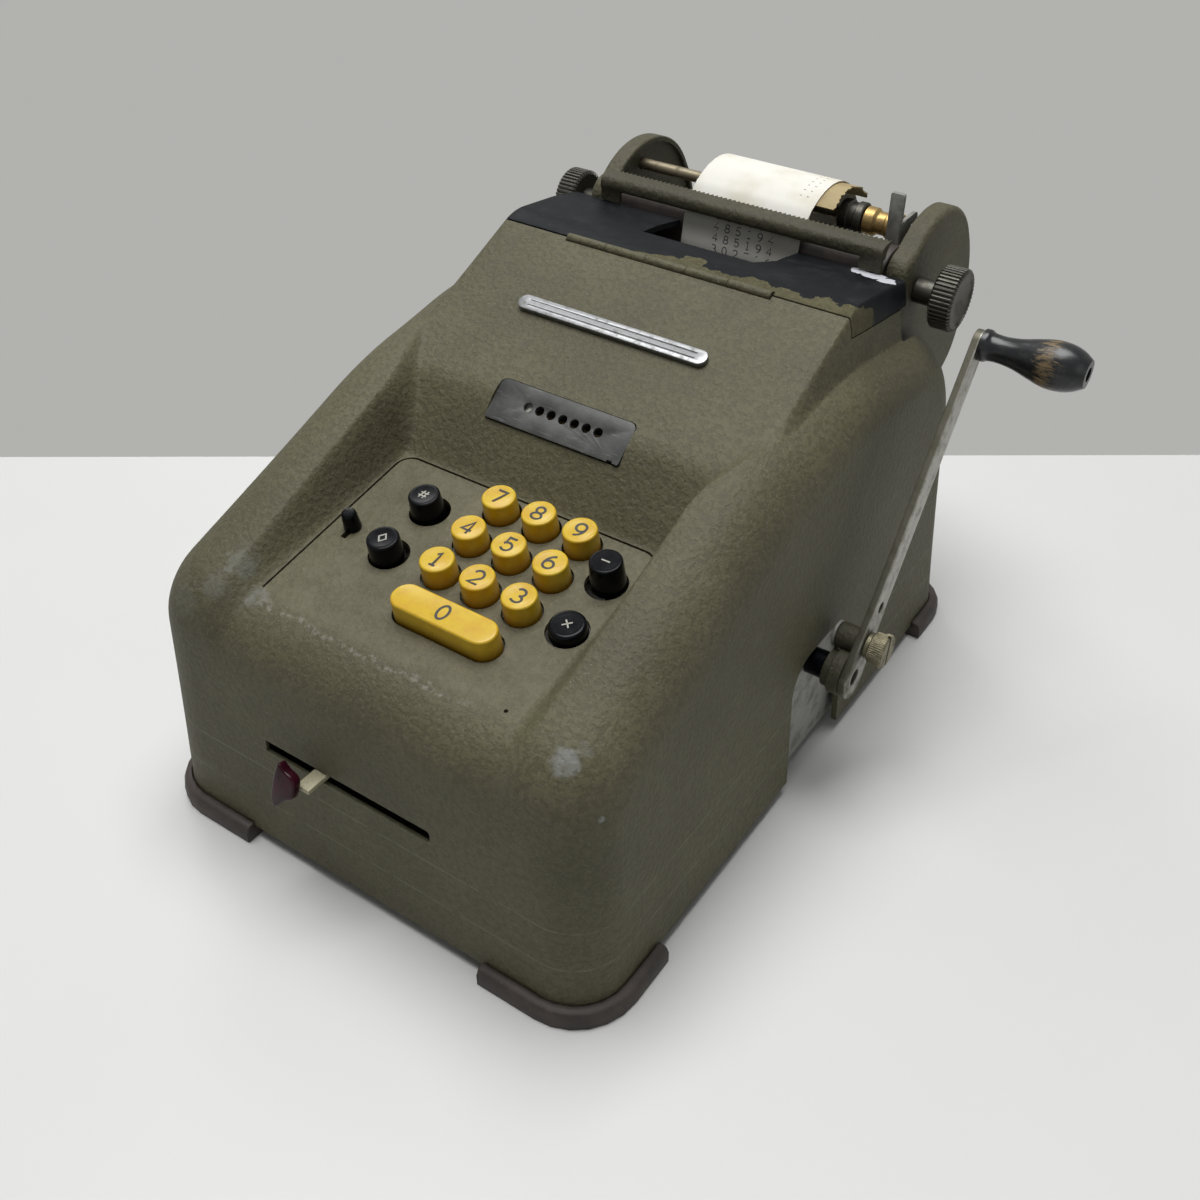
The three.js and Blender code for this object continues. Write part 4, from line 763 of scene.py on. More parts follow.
FRONT_FOOT = (-FRONT_LEAN / (FRONT_TOP - CASE_BOTTOM) * RUN_ON, CASE_BOTTOM - RUN_ON)
REAR_LEAN = (CASE_DEPTH - SHOULDER_REAR[0]) / (SHOULDER_REAR[1] - CASE_BOTTOM)
REAR_FOOT = (CASE_DEPTH + REAR_LEAN * RUN_ON, CASE_BOTTOM - RUN_ON)
PATH_STEPS = 12
SHOULDER_PATH = rounded_path([
    FRONT_FOOT,
    (FRONT_LEAN, FRONT_TOP, 28),
    (128, 160, 200),
    (200, 172, 150),
    (*SHOULDER_REAR, 40),
    REAR_FOOT,
], PATH_STEPS)
MIDDLE_PATH = rounded_path([
    FRONT_FOOT,
    (6.5, deck_height(6.5), 26),
    (113.8, deck_height(113.8), 4),
    (135.1, panel_height(135.1), 20),
    (HINGE[0] + 5.4, panel_height(HINGE[0] + 5.4), 25),
    (245, 187.5, 60),
    (SHOULDER_REAR[0] - 1.5, 178, 20),
    REAR_FOOT,
], PATH_STEPS)


def reach_of(path, angle, base_z):
    """Distance from the base line to the path along the ray at an angle."""
    ray = Vector((-math.cos(angle), math.sin(angle)))
    base = Vector((HUB_Y, base_z))
    best = 0.0
    for a, b in zip(path, path[1:]):
        p, side = a - base, b - a
        spread = ray.x * side.y - ray.y * side.x
        if abs(spread) < 1e-9:
            continue
        along = (p.x * side.y - p.y * side.x) / spread
        share = (p.x * ray.y - p.y * ray.x) / spread
        if -1e-6 < share < 1 + 1e-6:
            best = max(best, along)
    return best


def case_row(angle, base_z, inset, counts):
    """One row of the skin, from the right wall over the top to the left wall, at an angle about X."""
    shoulder = reach_of(SHOULDER_PATH, angle, base_z) - inset
    middle = reach_of(MIDDLE_PATH, angle, base_z) - inset
    end_radius = FRONT_CORNER if angle < math.pi / 2 else REAR_CORNER
    radius = mix(end_radius, SHOULDER_RADIUS, math.sin(angle)) - inset
    blend = smoothstep(HUB_Y - shoulder * math.cos(angle), *BLEND_Y)
    lean = inset * max(-1.0, min(1.0, (shoulder - middle) / 6))
    inner_x = mix(CHEEK[0], STEP[0], blend) + lean
    outer_x = mix(CHEEK[1], STEP[1], blend) + lean
    wall_top = shoulder - radius

    def half_at(reach):
        return CASE_WIDTH / 2 - WALL_LEAN * (base_z + reach * math.sin(angle) - CASE_BOTTOM) - inset

    round_x = half_at(wall_top) - radius

    def crown(x):
        if x <= round_x:
            return shoulder
        return shoulder - radius + math.sqrt(max(radius**2 - (x - round_x) ** 2, 0))

    half = []
    for k in range(counts["wall"]):
        reach = wall_top * k / counts["wall"]
        half.append((half_at(reach), reach))
    end_turn = math.acos((outer_x - round_x) / radius) if outer_x > round_x else math.pi / 2
    for k in range(counts["round"]):
        turn = end_turn * k / counts["round"]
        half.append((round_x + radius * math.cos(turn), wall_top + radius * math.sin(turn)))
    if outer_x <= round_x:
        half.append((round_x, shoulder))
    else:
        x = round_x + radius * math.cos(end_turn * 0.98)
        half.append((x, crown(x)))
    for k in range(counts["cheek"] + 1):
        share = k / counts["cheek"]
        x = mix(outer_x, inner_x, share)
        half.append((x, mix(crown(x), middle, smoothstep(share, 0, 1))))
    for k in range(1, counts["middle"] + 1):
        half.append((inner_x * (1 - k / counts["middle"]), middle))
    wall_x = round_x + radius

    def point(x, reach, side):
        if side < 0:
            x = -x - LEFT_WALL_OUT * smoothstep(x, outer_x, wall_x)
        return (x, HUB_Y - reach * math.cos(angle), base_z + reach * math.sin(angle))

    right = [point(x, reach, 1) for x, reach in half]
    return right + [point(x, reach, -1) for x, reach in half[-2::-1]]


def row_angles(base_z, closest, widest):
    """The angles of the rows, with one at each corner of the two paths where there is room."""
    corners = sorted(math.atan2(p.y - base_z, HUB_Y - p.x) for p in SHOULDER_PATH + MIDDLE_PATH)
    corners = [angle for angle in corners if 0.01 < angle < math.pi - 0.01]
    angles = [0.0]
    for angle in corners + [math.pi]:
        last = angles[-1]
        if angle != math.pi and angle - last < closest:
            continue
        steps = math.ceil((angle - last) / widest)
        angles += [last + (angle - last) * k / steps for k in range(1, steps + 1)]
    return angles


def case_skin(name, base_z, inset, counts, closest, widest):
    rows = [case_row(angle, base_z, inset, counts) for angle in row_angles(base_z, closest, widest)]
    return solid(name, [skin(rows, rings=False)])


# Points across each part of a row, then the closest and widest angle between two rows.
FINE_SKIN = ({"wall": 10, "round": 16, "cheek": 18, "middle": 10}, 0.009, 0.026)
INNER_SKIN = ({"wall": 3, "round": 6, "cheek": 7, "middle": 4}, 0.03, 0.12)

DECK_HALF = 61.4
DECK_REAR_S = 46.7
DECK_CORNER = 6.0
SEAM = 0.9
KEY_PITCH = 19.05
KEY_GRID_X = 13.6
KEY_TOP = 6.75
KEY_BASE = 7.05
KEY_HOLE = 7.9
KEY_HEIGHT = 8.9
ZERO_KEY = {"x": 13.8, "s": -20.0, "length": 47.2, "width": 13.0}
# Place, top and base radius, height and rounded edge of each key, then the place and radius of its hole.
FUNCTION_KEYS = {
    "key_non_add": ((-32.0, 24.9), 6.3, 6.9, 9.2, 0.9, (-31.4, 25.2), 8.4),
    "key_sub_total": ((-30.6, -1.5), 6.4, 6.9, 9.3, 0.9, (-30.4, -0.9), 8.3),
    "key_subtract": ((52.1, 27.1), 6.3, 6.9, 11.8, 0.9, (51.6, 26.4), 8.3),
    "key_repeat": ((52.7, 0.6), 7.1, 7.3, 4.2, 1.5, (52.3, 0.5), 8.3),
}
LEVER = {"x": -52.6, "s": 3.4, "front": -2.9, "rear": 5.0, "half_slot": 1.3}
SLOT = (-45.8, 36.2, 55.4, 60.9)
LEVER_TOP = SLOT[3] - 0.7
LEVER_THICK = 2.2
LEVER_REST_X = -17.0
ARCH = {"front": 146.0, "rear": 192.0, "top": 67.0, "corner": 15.0}
LID_SEAM = ((HINGE[0], 180.7), (262.5, 173.0))
WELL = {"half": 88.0, "front": 257.0, "bottom": 104.0}
HINGE_RADIUS = 1.9
HINGE_HALF = 48.9
FIT = 0.4
PIN_HOLE = (54.8, 27.7)
ABOVE_CASE = 240.0


def digit_keys():
    keys = {}
    for digit in range(1, 10):
        column, row = (digit - 1) % 3, (digit - 1) // 3
        at = (KEY_GRID_X + (column - 1) * KEY_PITCH, row * KEY_PITCH)
        keys[f"key_{digit}"] = (at, KEY_TOP, KEY_BASE, KEY_HEIGHT, 0.9, at, KEY_HOLE)
    return keys


DIGIT_KEYS = digit_keys()


def deck_cutters():
    """What is cut through the deck: the key holes and the lever's slot."""
    cutters = []
    for name, key in {**DIGIT_KEYS, **FUNCTION_KEYS}.items():
        hole_at, hole_radius = key[5:]
        hole = prism(arc(hole_at, hole_radius, 0, 352.5, 47), -9, 6, "Z")
        cutters.append(solid(f"hole_{name}", [hole], matrix=DECK_FRAME))
    around = 2 * (KEY_HOLE - KEY_BASE)
    zero = stadium(ZERO_KEY["length"] + around, ZERO_KEY["width"] + around, ZERO_KEY["x"], ZERO_KEY["s"])
    cutters.append(solid("hole_zero", [prism(zero, -9, 6, "Z")], matrix=DECK_FRAME))
    left, right = LEVER["x"] - LEVER["half_slot"], LEVER["x"] + LEVER["half_slot"]
    slot = rounded(left, right, LEVER["front"], LEVER["rear"], 0.5, 2)
    cutters.append(solid("hole_lever", [prism(slot, -9, 6, "Z")], matrix=DECK_FRAME))
    return cutters


def seam_cutter():
    """A fine groove along the left and rear edges of the deck."""
    def line(offset):
        side, top, bend = DECK_HALF + offset, DECK_REAR_S + offset, DECK_CORNER + offset
        return (
            [(-side, -38.0)]
            + arc((-side + bend, top - bend), bend, 180, 90, 8)
            + arc((side - bend, top - bend), bend, 90, 0, 8)
            + [(side, 34.0)]
        )

    outline = line(SEAM) + line(0)[::-1]
    return solid("seam", [prism(outline, -1.6, 8, "Z")], matrix=DECK_FRAME)


def arch_outline():
    front, rear, top, corner = (ARCH[key] for key in ("front", "rear", "top", "corner"))
    return (
        [(front, CASE_BOTTOM - 4), (rear, CASE_BOTTOM - 4)]
        + arc((rear - corner, top - corner), corner, 0, 90, 10)
        + arc((front + corner, top - corner), corner, 90, 180, 10)
    )


def seam_height(y, lift):
    (y0, z0), (y1, z1) = LID_SEAM
    return z0 + (y - y0) * (z1 - z0) / (y1 - y0) + lift


def lid_zone(name, front, rear, lift):
    outline = [(front, seam_height(front, lift)), (rear, seam_height(rear, lift))]
    outline += [(rear, ABOVE_CASE), (front, ABOVE_CASE)]
    return solid(name, [prism(outline, -CASE_WIDTH / 2, CASE_WIDTH / 2, "X")])


def hinge_channel():
    reach = HINGE_HALF + FIT
    return drill(-reach, reach, HINGE_RADIUS + FIT, HINGE, 24)


def window_outline(extra):
    return rounded(-32 - extra, 32 + extra, -8.9 - extra, 8.9 + extra, [0.8, 0.8, 3, 3])


def notch_outline():
    left, right = -25.4, 34.4
    return [(left, 232), (right - 6, 232), (right, 241), (right, 270), (left, 270)]


def make_case():
    """The hollow shell, cut into the case with its openings and the rear lid."""
    shell = case_skin("case_shell", CASE_BOTTOM, 0.0, *FINE_SKIN)
    inner = case_skin("inner", CASE_BOTTOM - 1, CASE_WALL, *INNER_SKIN)
    combine(shell, [inner])
    lid = link("lid_shell", shell.data.copy())
    half = CASE_WIDTH / 2
    well = block(-WELL["half"], WELL["half"], WELL["front"], CASE_DEPTH + 20, WELL["bottom"], 230)
    cutters = deck_cutters() + [
        seam_cutter(),
        solid("window_hole", [prism(window_outline(0.3), -9, 8, "Z")], matrix=WINDOW_FRAME),
        solid("front_slot", [prism(rounded(*SLOT, [0.4, 1.7, 1.7, 0.4]), -3, 8, "Y")]),
        solid("slot_back", [block(SLOT[0] - 3, SLOT[1] + 3, 4.6, 12, SLOT[2] - 3, SLOT[3] + 3)]),
        solid("arch", [prism(arch_outline(), half - 14, half + 4, "X")]),
        drill(100, 125, 0.8, PIN_HOLE, 16, "Z"),
        lid_zone("zone", HINGE[0] - FIT, CASE_DEPTH + 20, -0.3),
        solid("well", [well]),
        hinge_channel(),
    ]
    combine(shell, cutters)
    combine(lid, [lid_zone("keep", HINGE[0] + FIT, 262.5, 0.3)], "INTERSECT")
    combine(lid, [solid("notch", [prism(notch_outline(), 160, 230, "Z")]), hinge_channel()])
    dress(shell, "case", "case", ["case_cover", "keyboard_plate"])
    dress(lid, "lid_coating", "lid", nodes=["rear_lid"])


make_case()


# Strokes: plain figures and signs as thin raised ribbons.
def figure_strokes(sign):
    """Lines of a figure in a box 4 wide and 6.2 high about its middle."""
    ring = lambda u, v, ru, rv: arc((u, v), (ru, rv), 90, 450, 28)
    six = [ring(0, -1.2, 2.0, 1.9), arc((1.5, -0.9), (3.5, 4.0), 182, 98, 12)]
    return {
        "0": [ring(0, 0, 2.0, 3.1)],
        "1": [[(-1.2, 2.0), (0.2, 3.1), (0.2, -3.1)], [(-1.1, -3.1), (1.5, -3.1)]],
        "2": [arc((0, 1.2), (1.95, 1.9), 165, -38, 16) + [(-2.0, -3.1), (2.1, -3.1)]],
        "3": [arc((-0.1, 1.55), (1.8, 1.55), 150, -90, 16), arc((-0.1, -1.5), (2.05, 1.6), 90, -150, 18)],
        "4": [[(0.9, -3.1), (0.9, 3.1), (-2.1, -1.2), (2.1, -1.2)]],
        "5": [[(1.8, 3.1), (-1.3, 3.1), (-1.6, 0.2)] + arc((-0.1, -1.1), (2.05, 2.0), 138, -150, 18)],
        "6": six,
        "7": [[(-2.0, 3.1), (2.0, 3.1), (-0.6, -3.1)]],
        "8": [ring(0, 1.6, 1.65, 1.5), ring(0, -1.5, 2.0, 1.6)],
        "9": [[(-u, -v) for u, v in stroke] for stroke in six],
        "#": [
            [(-1.2, -2.2), (-0.5, 2.2)],
            [(0.6, -2.2), (1.3, 2.2)],
            [(-2.0, 0.9), (2.1, 0.9)],
            [(-2.2, -0.9), (1.9, -0.9)],
        ],
        "<": [[(0, 2.4), (-1.9, 0), (0, -2.4), (1.9, 0), (0, 2.4)]],
        "-": [[(-2.0, 0), (2.0, 0)]],
        "x": [[(-1.6, -1.6), (1.6, 1.6)], [(-1.6, 1.6), (1.6, -1.6)]],
    }[sign]


def ribbon(stroke, half_width, surface, lift, sink):
    """A raised line along a stroke. surface(u, v, height) gives the point for a flat place and a height."""
    closed = math.dist(stroke[0], stroke[-1]) < 1e-6
    points = [Vector(p) for p in (stroke[:-1] if closed else stroke)]
    count = len(points)
    sides = []
    for i, here in enumerate(points):
        ways = []
        if closed or i > 0:
            ways.append((here - points[i - 1]).normalized())
        if closed or i < count - 1:
            ways.append((points[(i + 1) % count] - here).normalized())
        normals = [Vector((-w.y, w.x)) for w in ways]
        normal = sum(normals, Vector((0, 0))).normalized()
        stretch = 1 / max(normal.dot(normals[0]), 0.6)
        offset = normal * half_width * stretch
        sides.append((here + offset, here - offset))
    rows = []
    for left, right in sides:
        top = [surface(*left, lift), surface(*right, lift)]
        rows.append(top + [surface(*right, -sink), surface(*left, -sink)])
    if closed:
        rows.append(rows[0])
    return skin(rows, rings=True, ends=not closed)


def sign_parts(sign, scale, half_width, surface, lift=0.05, sink=0.12, at=(0.0, 0.0)):
    parts = []
    for stroke in figure_strokes(sign):
        moved = [(at[0] + u * scale, at[1] + v * scale) for u, v in stroke]
        parts.append(ribbon(moved, half_width, surface, lift, sink))
    return parts


# Keys
SINK = 1.4
STEM_BOTTOM = -27.0
STEM_HALF = (2.0, 1.2)
# Size of the figures and half the width of their lines, on the digit keys and the others.
DIGIT_INK = (1.05, 0.52)
SIGN_INK = (0.9, 0.3)


def key_profile(top, base, height, edge, dish):
    profile = [(-SINK, 0), (-SINK, base - 0.3), (-SINK + 0.3, base), (0, base), (height - edge, top)]
    for k in range(1, 7):
        angle = math.radians(15 * k)
        profile.append((height - edge + edge * math.sin(angle), top - edge + edge * math.cos(angle)))
    for k in range(1, 7):
        radius = (top - edge) * (1 - k / 6)
        profile.append((height - dish * (1 - (radius / (top - edge)) ** 2), radius))
    return profile


def stem(x, s):
    half_x, half_s = STEM_HALF
    return block(x - half_x, x + half_x, s - half_s, s + half_s, STEM_BOTTOM, -SINK + 0.1)


def round_key(name, key, look, sign, ink, dish=0.45):
    (x, s), top, base, height, edge = key[:5]
    body = turned(key_profile(top, base, height, edge, dish), (x, s), 56, "Z")
    cap = solid(name + "_cap", [body], 30, DECK_FRAME)
    combine(cap, [solid("stem", [stem(x, s)], 0, DECK_FRAME)], "UNION")
    dress(cap, look, name, nodes=[name])

    def surface(u, v, lift):
        share = min(math.hypot(u, v) / (top - edge), 1)
        return (x + u, s + v, height - dish * (1 - share**2) + lift)

    size = DIGIT_INK if look == "amber_key" else SIGN_INK
    legend = solid(name + "_legend", sign_parts(sign, *size, surface), 30, DECK_FRAME)
    dress(legend, ink, name)


def zero_key():
    x, s, length, width = (ZERO_KEY[key] for key in ("x", "s", "length", "width"))
    height, edge = KEY_HEIGHT, 1.0
    rows = []
    for level, shrink in ((-SINK, 0.0), (0, 0.0), (height - edge, 0.35)):
        rows.append([(u, v, level) for u, v in stadium(length - 2 * shrink, width - 2 * shrink, x, s)])
    for k in range(1, 6):
        angle = math.radians(18 * k)
        shrink = 0.35 + edge * (1 - math.cos(angle))
        level = height - edge + edge * math.sin(angle)
        rows.append([(u, v, level) for u, v in stadium(length - 2 * shrink, width - 2 * shrink, x, s)])
    cap = solid("key_0_cap", [skin(rows)], 30, DECK_FRAME)
    reach = (length - width) / 2
    stems = [solid("stem", [stem(x + side * reach, s)], 0, DECK_FRAME) for side in (-1, 1)]
    combine(cap, stems, "UNION")
    dress(cap, "amber_key", "key_0", nodes=["key_0"])
    surface = lambda u, v, level: (x + u, s + v, height + level)
    legend = solid("key_0_legend", sign_parts("0", *DIGIT_INK, surface), 30, DECK_FRAME)
    dress(legend, "dark_ink", "key_0")


for key_name, key_size in DIGIT_KEYS.items():
    round_key(key_name, key_size, "amber_key", key_name[-1], "dark_ink")
for (key_name, key_size), key_sign in zip(FUNCTION_KEYS.items(), "#<-x"):
    round_key(key_name, key_size, "black_key", key_sign, "pale_ink", 0.2)
zero_key()


def make_deck_lever():
    """A small round cap on a flat blade in the deck's slot."""
    x, s = LEVER["x"], LEVER["s"]
    profile = [(0.3, 0), (0.3, 3.5), (1.0, 3.6), (7.4, 3.0), (8.1, 2.75), (8.5, 2.3), (8.6, 1.5), (8.5, 0)]
    cap = solid("deck_lever_cap", [turned(profile, (x, s), 40, "Z")], 30, DECK_FRAME)
    blade = solid("blade", [block(x - 0.9, x + 0.9, s - 1.2, s + 1.2, -12, 2)], 0, DECK_FRAME)
    dress(combine(cap, [blade], "UNION"), "black_key", "deck_lever", nodes=["deck_lever"])


FIRST_SIGHT_X = -15.3
SIGHT_PITCH = 5.55
TRIM_BAR = {"x": -3.0, "y": 175.0, "length": 90.0, "width": 7.0, "top": 2.4}


def make_window():
    """The plate with seven sight holes and a nick in its lower right edge."""
    holes = []
    for i in range(7):
        ring = arc((FIRST_SIGHT_X + i * SIGHT_PITCH, 0.6), 2.0, 0, 350, 35)
        holes.append(solid("hole", [prism(ring, -5, 5, "Z")], matrix=WINDOW_FRAME))
    plate = solid("window_face", [prism(window_outline(-0.05), -0.8, 0.8, "Z")], matrix=WINDOW_FRAME)
    holes.append(solid("nick", [block(26.8, 29.2, -10, -8.0, -5, 5)], matrix=WINDOW_FRAME))
    combine(plate, holes)
    dress(soften(plate, 0.25, 2), "window_metal", "case", nodes=["window_plate"])


def make_trim_bar():
    """A plain bright bar with two fine grooves, high on the panel."""
    x, y, length, width, top = TRIM_BAR.values()
    tilt = tilted(x, y, panel_height(y), math.atan(PANEL_SLOPE))
    outline = stadium(length, width, 0, 0, 12)
    bar = solid("trim_bar_bright", [prism(outline, 0.3, top, "Z")], matrix=tilt)
    reach = length / 2 - 5
    grooves = [block(-reach, reach, v - 0.25, v + 0.25, top - 0.4, top + 0.6) for v in (-1.3, 1.3)]
    combine(bar, [solid("groove", [groove], matrix=tilt) for groove in grooves])
    dress(soften(bar, 0.3, 3), "bright_trim", "case", nodes=["trim_bar"])


def make_hinge():
    """Five knuckles in turn on the case and on the lid, on one pin."""
    length = 2 * HINGE_HALF / 5
    for k in range(5):
        x0 = -HINGE_HALF + k * length
        x1 = x0 + length
        profile = [(x0 + 0.1, 0), (x0 + 0.1, HINGE_RADIUS - 0.1), (x0 + 0.3, HINGE_RADIUS)]
        profile += [(x1 - 0.3, HINGE_RADIUS), (x1 - 0.1, HINGE_RADIUS - 0.1), (x1 - 0.1, 0)]
        knuckle = solid(f"hinge_knuckle_{k}", [turned(profile, HINGE, 24)])
        body = "lid" if k % 2 else "case"
        dress(knuckle, "crinkle_paint", body, nodes=["hinge_pin"] if k == 0 else ())


make_deck_lever()
make_window()
make_trim_bar()
make_hinge()


# Carriage
CARRIAGE_X = 3.0
BRACKET_OUTER = 79.0
BRACKET_THICK = 9.4
BRACKET_WEB = 7.0
BRACKET_RIM = 2.2
BRACKET_FRONT = 264.2
BRACKET_FOOT = 131.0
BRACKET_REAR = 345.0
PLATEN = (277.5, 174.0)
PLATEN_RADIUS = 15.2
AXLE_RADIUS = 3.2
AXLE_HALF = 96.5
KNOB_RADIUS = 13.2
KNOB_THICK = 10.0
KNOB_RIBS = 44
SPINDLE = (298.0, 189.0)
ROD_BORE = 2.9
PAPER_X = (-24.0, 33.0)
ARCH_CENTRE = (290.6, 172.0)
ARCH_RADIUS = 31.6


def bracket_outline(shrink):
    """The bracket's side view, drawn in by shrink all round."""
    front = BRACKET_FRONT + shrink
    rear = BRACKET_REAR - shrink
    foot = BRACKET_FOOT + shrink
    line = [(front, foot), (300 - shrink, foot), (306 + shrink * 0.4, 116 + shrink)]
    line += curve(line[-1], (309 + shrink, 108 + shrink), (318, 108 + shrink))
    line += curve(line[-1], (332 - shrink, 110 + shrink), (339 - shrink, 121))
    line += curve(line[-1], (rear, 131), (rear, 146))
    line += curve(line[-1], (rear, 163), (335.5 - shrink * 0.8, 178.5 - shrink * 0.5))
    line += arc((300, 160), 40 - shrink, math.degrees(0.48), 129.6, 20)
    line += curve(line[-1], (front, 190 - shrink), (front, 180))
    return line


def make_bracket(name, hand):
    """A plate with a rounded outer edge, hollow on its inner side."""
    inner, outer, dome = BRACKET_OUTER - BRACKET_THICK, BRACKET_OUTER, 3.0
    rows = [[(inner, y, z) for y, z in bracket_outline(0.5)]]
    rows.append([(inner + 0.5, y, z) for y, z in bracket_outline(0)])
    for k in range(7):
        angle = math.radians(15 * k)
        x = outer - dome + dome * math.sin(angle)
        rows.append([(x, y, z) for y, z in bracket_outline(dome * (1 - math.cos(angle)))])
    mirrored = Matrix.Translation((CARRIAGE_X, 0, 0)) @ Matrix.Diagonal((hand, 1, 1, 1))
    plate = solid(name, [skin(rows)], matrix=mirrored)
    pocket = bracket_outline(BRACKET_RIM)
    tools = [
        solid("pocket", [prism(pocket, inner - 1, outer - BRACKET_WEB, "X")], matrix=mirrored),
        drill(inner - 5, outer + 5, AXLE_RADIUS + FIT, PLATEN, matrix=mirrored),
        drill(inner - 5, outer - 1.2, ROD_BORE, SPINDLE, matrix=mirrored),
    ]
    combine(plate, tools)
    # The brackets' paint is a darker copy of the case paint: painted shade and grime.
    dress(plate, "bracket_paint", "case", [name.replace("_shell", "")])


def make_platen():
    side = BRACKET_OUTER - BRACKET_THICK - 1.6
    x0, x1 = CARRIAGE_X - side, CARRIAGE_X + side
    bore, edge = AXLE_RADIUS + 0.1, PLATEN_RADIUS - 0.4
    rubber = [(x0, bore), (x0, edge), (x0 + 0.4, PLATEN_RADIUS)]
    rubber += [(x1 - 0.4, PLATEN_RADIUS), (x1, edge), (x1, bore)]
    dress(solid("platen_roller", [turned(rubber, PLATEN, 72)]), "rubber", "platen", nodes=["platen"])
    left, right = CARRIAGE_X - AXLE_HALF, CARRIAGE_X + AXLE_HALF
    shaft = [(left, 0), (left, AXLE_RADIUS), (right, AXLE_RADIUS), (right, 0)]
    dress(solid("platen_shaft", [turned(shaft, PLATEN, 32)]), "steel", "platen")


def ribbed(radius, depth, ribs):
    """A round outline with a rib and a groove in turn."""
    low, edge = radius - depth, radius - 0.15
    rib = ((0.0, edge), (0.12, radius), (0.42, radius), (0.54, edge), (0.66, low), (0.88, low))
    outline = []
    for i in range(ribs):
        for turn, reach in rib:
            angle = 2 * math.pi * (i + turn) / ribs
            outline.append((reach * math.cos(angle), reach * math.sin(angle)))
    return outline


def make_knob(name, hand):
    """A ribbed wheel with a dished face, on a boss that reaches to the bracket."""
    outer, thick, radius = AXLE_HALF + 3.0 + CARRIAGE_X * hand, KNOB_THICK, KNOB_RADIUS
    start = BRACKET_OUTER + CARRIAGE_X * hand + FIT
    place_knob = Matrix.Translation((0, *PLATEN)) @ Matrix.Diagonal((hand, 1, 1, 1))
    rows = []
    for x, shrink in ((outer - thick, 1.0), (outer - thick + 0.9, 0.0), (outer - 0.9, 0.0), (outer, 1.0)):
        scale = (radius - shrink) / radius
        rows.append([(x, u * scale, v * scale) for u, v in ribbed(radius, 0.75, KNOB_RIBS)])
    wheel = solid(name + "_wheel", [skin(rows)], 28, place_knob)
    dish = [(-1.7, 0), (-1.6, 3.5), (-1.2, 6.5), (-0.6, 9.2), (-0.2, 10.2), (1, 10.4), (1, 0)]
    dish = [(outer + x, reach) for x, reach in dish]
    boss = [(start, 0), (start, 5.2), (start + 0.3, 5.4), (outer - thick + 1, 5.4), (outer - thick + 1, 0)]
    combine(wheel, [solid("boss", [turned(boss, (0, 0), 40)], 32, place_knob)], "UNION")
    combine(wheel, [solid("dish", [turned(dish, (0, 0), 48)], 32, place_knob)])
    dress(wheel, "dark_steel", "platen", [name])


def path_points(points, steps):
    """Even points, with their ways, along a smooth line through the given ones."""
    fine = []
    for i in range(len(points) - 1):
        p0 = Vector(points[max(i - 1, 0)])
        p1, p2 = Vector(points[i]), Vector(points[i + 1])
        p3 = Vector(points[min(i + 2, len(points) - 1)])
        for k in range(8):
            t = k / 8
            square = (2 * p0 - 5 * p1 + 4 * p2 - p3) * t * t
            cube = (3 * p1 - p0 - 3 * p2 + p3) * t**3
            fine.append(0.5 * (2 * p1 + (p2 - p0) * t + square + cube))
    fine.append(Vector(points[-1]))
    lengths = [0.0]
    for a, b in zip(fine, fine[1:]):
        lengths.append(lengths[-1] + (b - a).length)
    even = []
    for k in range(steps + 1):
        target = lengths[-1] * k / steps
        i = max(j for j in range(len(lengths) - 1) if lengths[j] <= target + 1e-9)
        share = (target - lengths[i]) / (lengths[i + 1] - lengths[i])
        even.append((fine[i].lerp(fine[i + 1], share), (fine[i + 1] - fine[i]).normalized()))
    return even, lengths[-1]


def sheet_rows(even, thickness, x0, x1, ragged=0.0):
    rows = []
    for k, (point, way) in enumerate(even):
        across = Vector((-way.y, way.x)) * thickness / 2
        wobble = ragged * noise.noise(Vector((k * 0.31, 2.7, 0.4)))
        xs = [mix(x0, x1 + wobble, j / 8) for j in range(9)]
        top = [(x, *(point + across)) for x in xs]
        low = [(x, *(point - across)) for x in xs[::-1]]
        rows.append(top + low)
    return skin(rows)


def paper_path():
    """Round the front of the platen, up to the loop, over it and down at the rear."""
    wrap = arc(PLATEN, PLATEN_RADIUS + 0.6, 235, 165, 6)
    loop = arc(ARCH_CENTRE, ARCH_RADIUS, 128, 10, 12)
    return wrap + [(264.6, 188.4)] + loop + [(320, 164)]


PAPER_STEPS = 90
PRINTED_ROWS = ("302716", "485194", "485194", "602337")


def make_paper():
    even, length = path_points(paper_path(), PAPER_STEPS)
    strip = solid("paper_sheet", [sheet_rows(even, 0.4, *PAPER_X)], 40)
    dress(strip, "white_paper", "case", nodes=["paper_strip"])

    def surface(u, v, height):
        k = min(max(v / length * PAPER_STEPS, 0), PAPER_STEPS - 0.001)
        i = int(k)
        point = even[i][0].lerp(even[i + 1][0], k - i)
        way = even[i][1]
        across = Vector((-way.y, way.x))
        return (u, *(point + across * (0.2 + height)))

    parts = []
    for row, figures in enumerate(PRINTED_ROWS):
        for column, sign in enumerate(reversed(figures)):
            at = (19.8 - column * 5.4, 16.5 + row * 4.9)
            parts += sign_parts(sign, 0.55, 0.22, surface, 0.03, 0.05, at)
    for mark in range(11):
        for row in range(2):
            at = (24.5 + row * 3.4, 49.0 + mark * 3.7)
            parts += sign_parts("-", 0.22, 0.2, surface, 0.03, 0.05, at)
    dress(solid("paper_print", parts, 30), "grey_ink", "case")
    leader, _ = path_points(arc(ARCH_CENTRE, ARCH_RADIUS - 0.85, 118, 40, 12), 60)
    torn = solid("paper_end", [sheet_rows(leader, 0.6, PAPER_X[0] + 2, PAPER_X[1] + 7.6, 2.4)], 40)
    dress(torn, "brown_paper", "case", nodes=["paper_leader"])


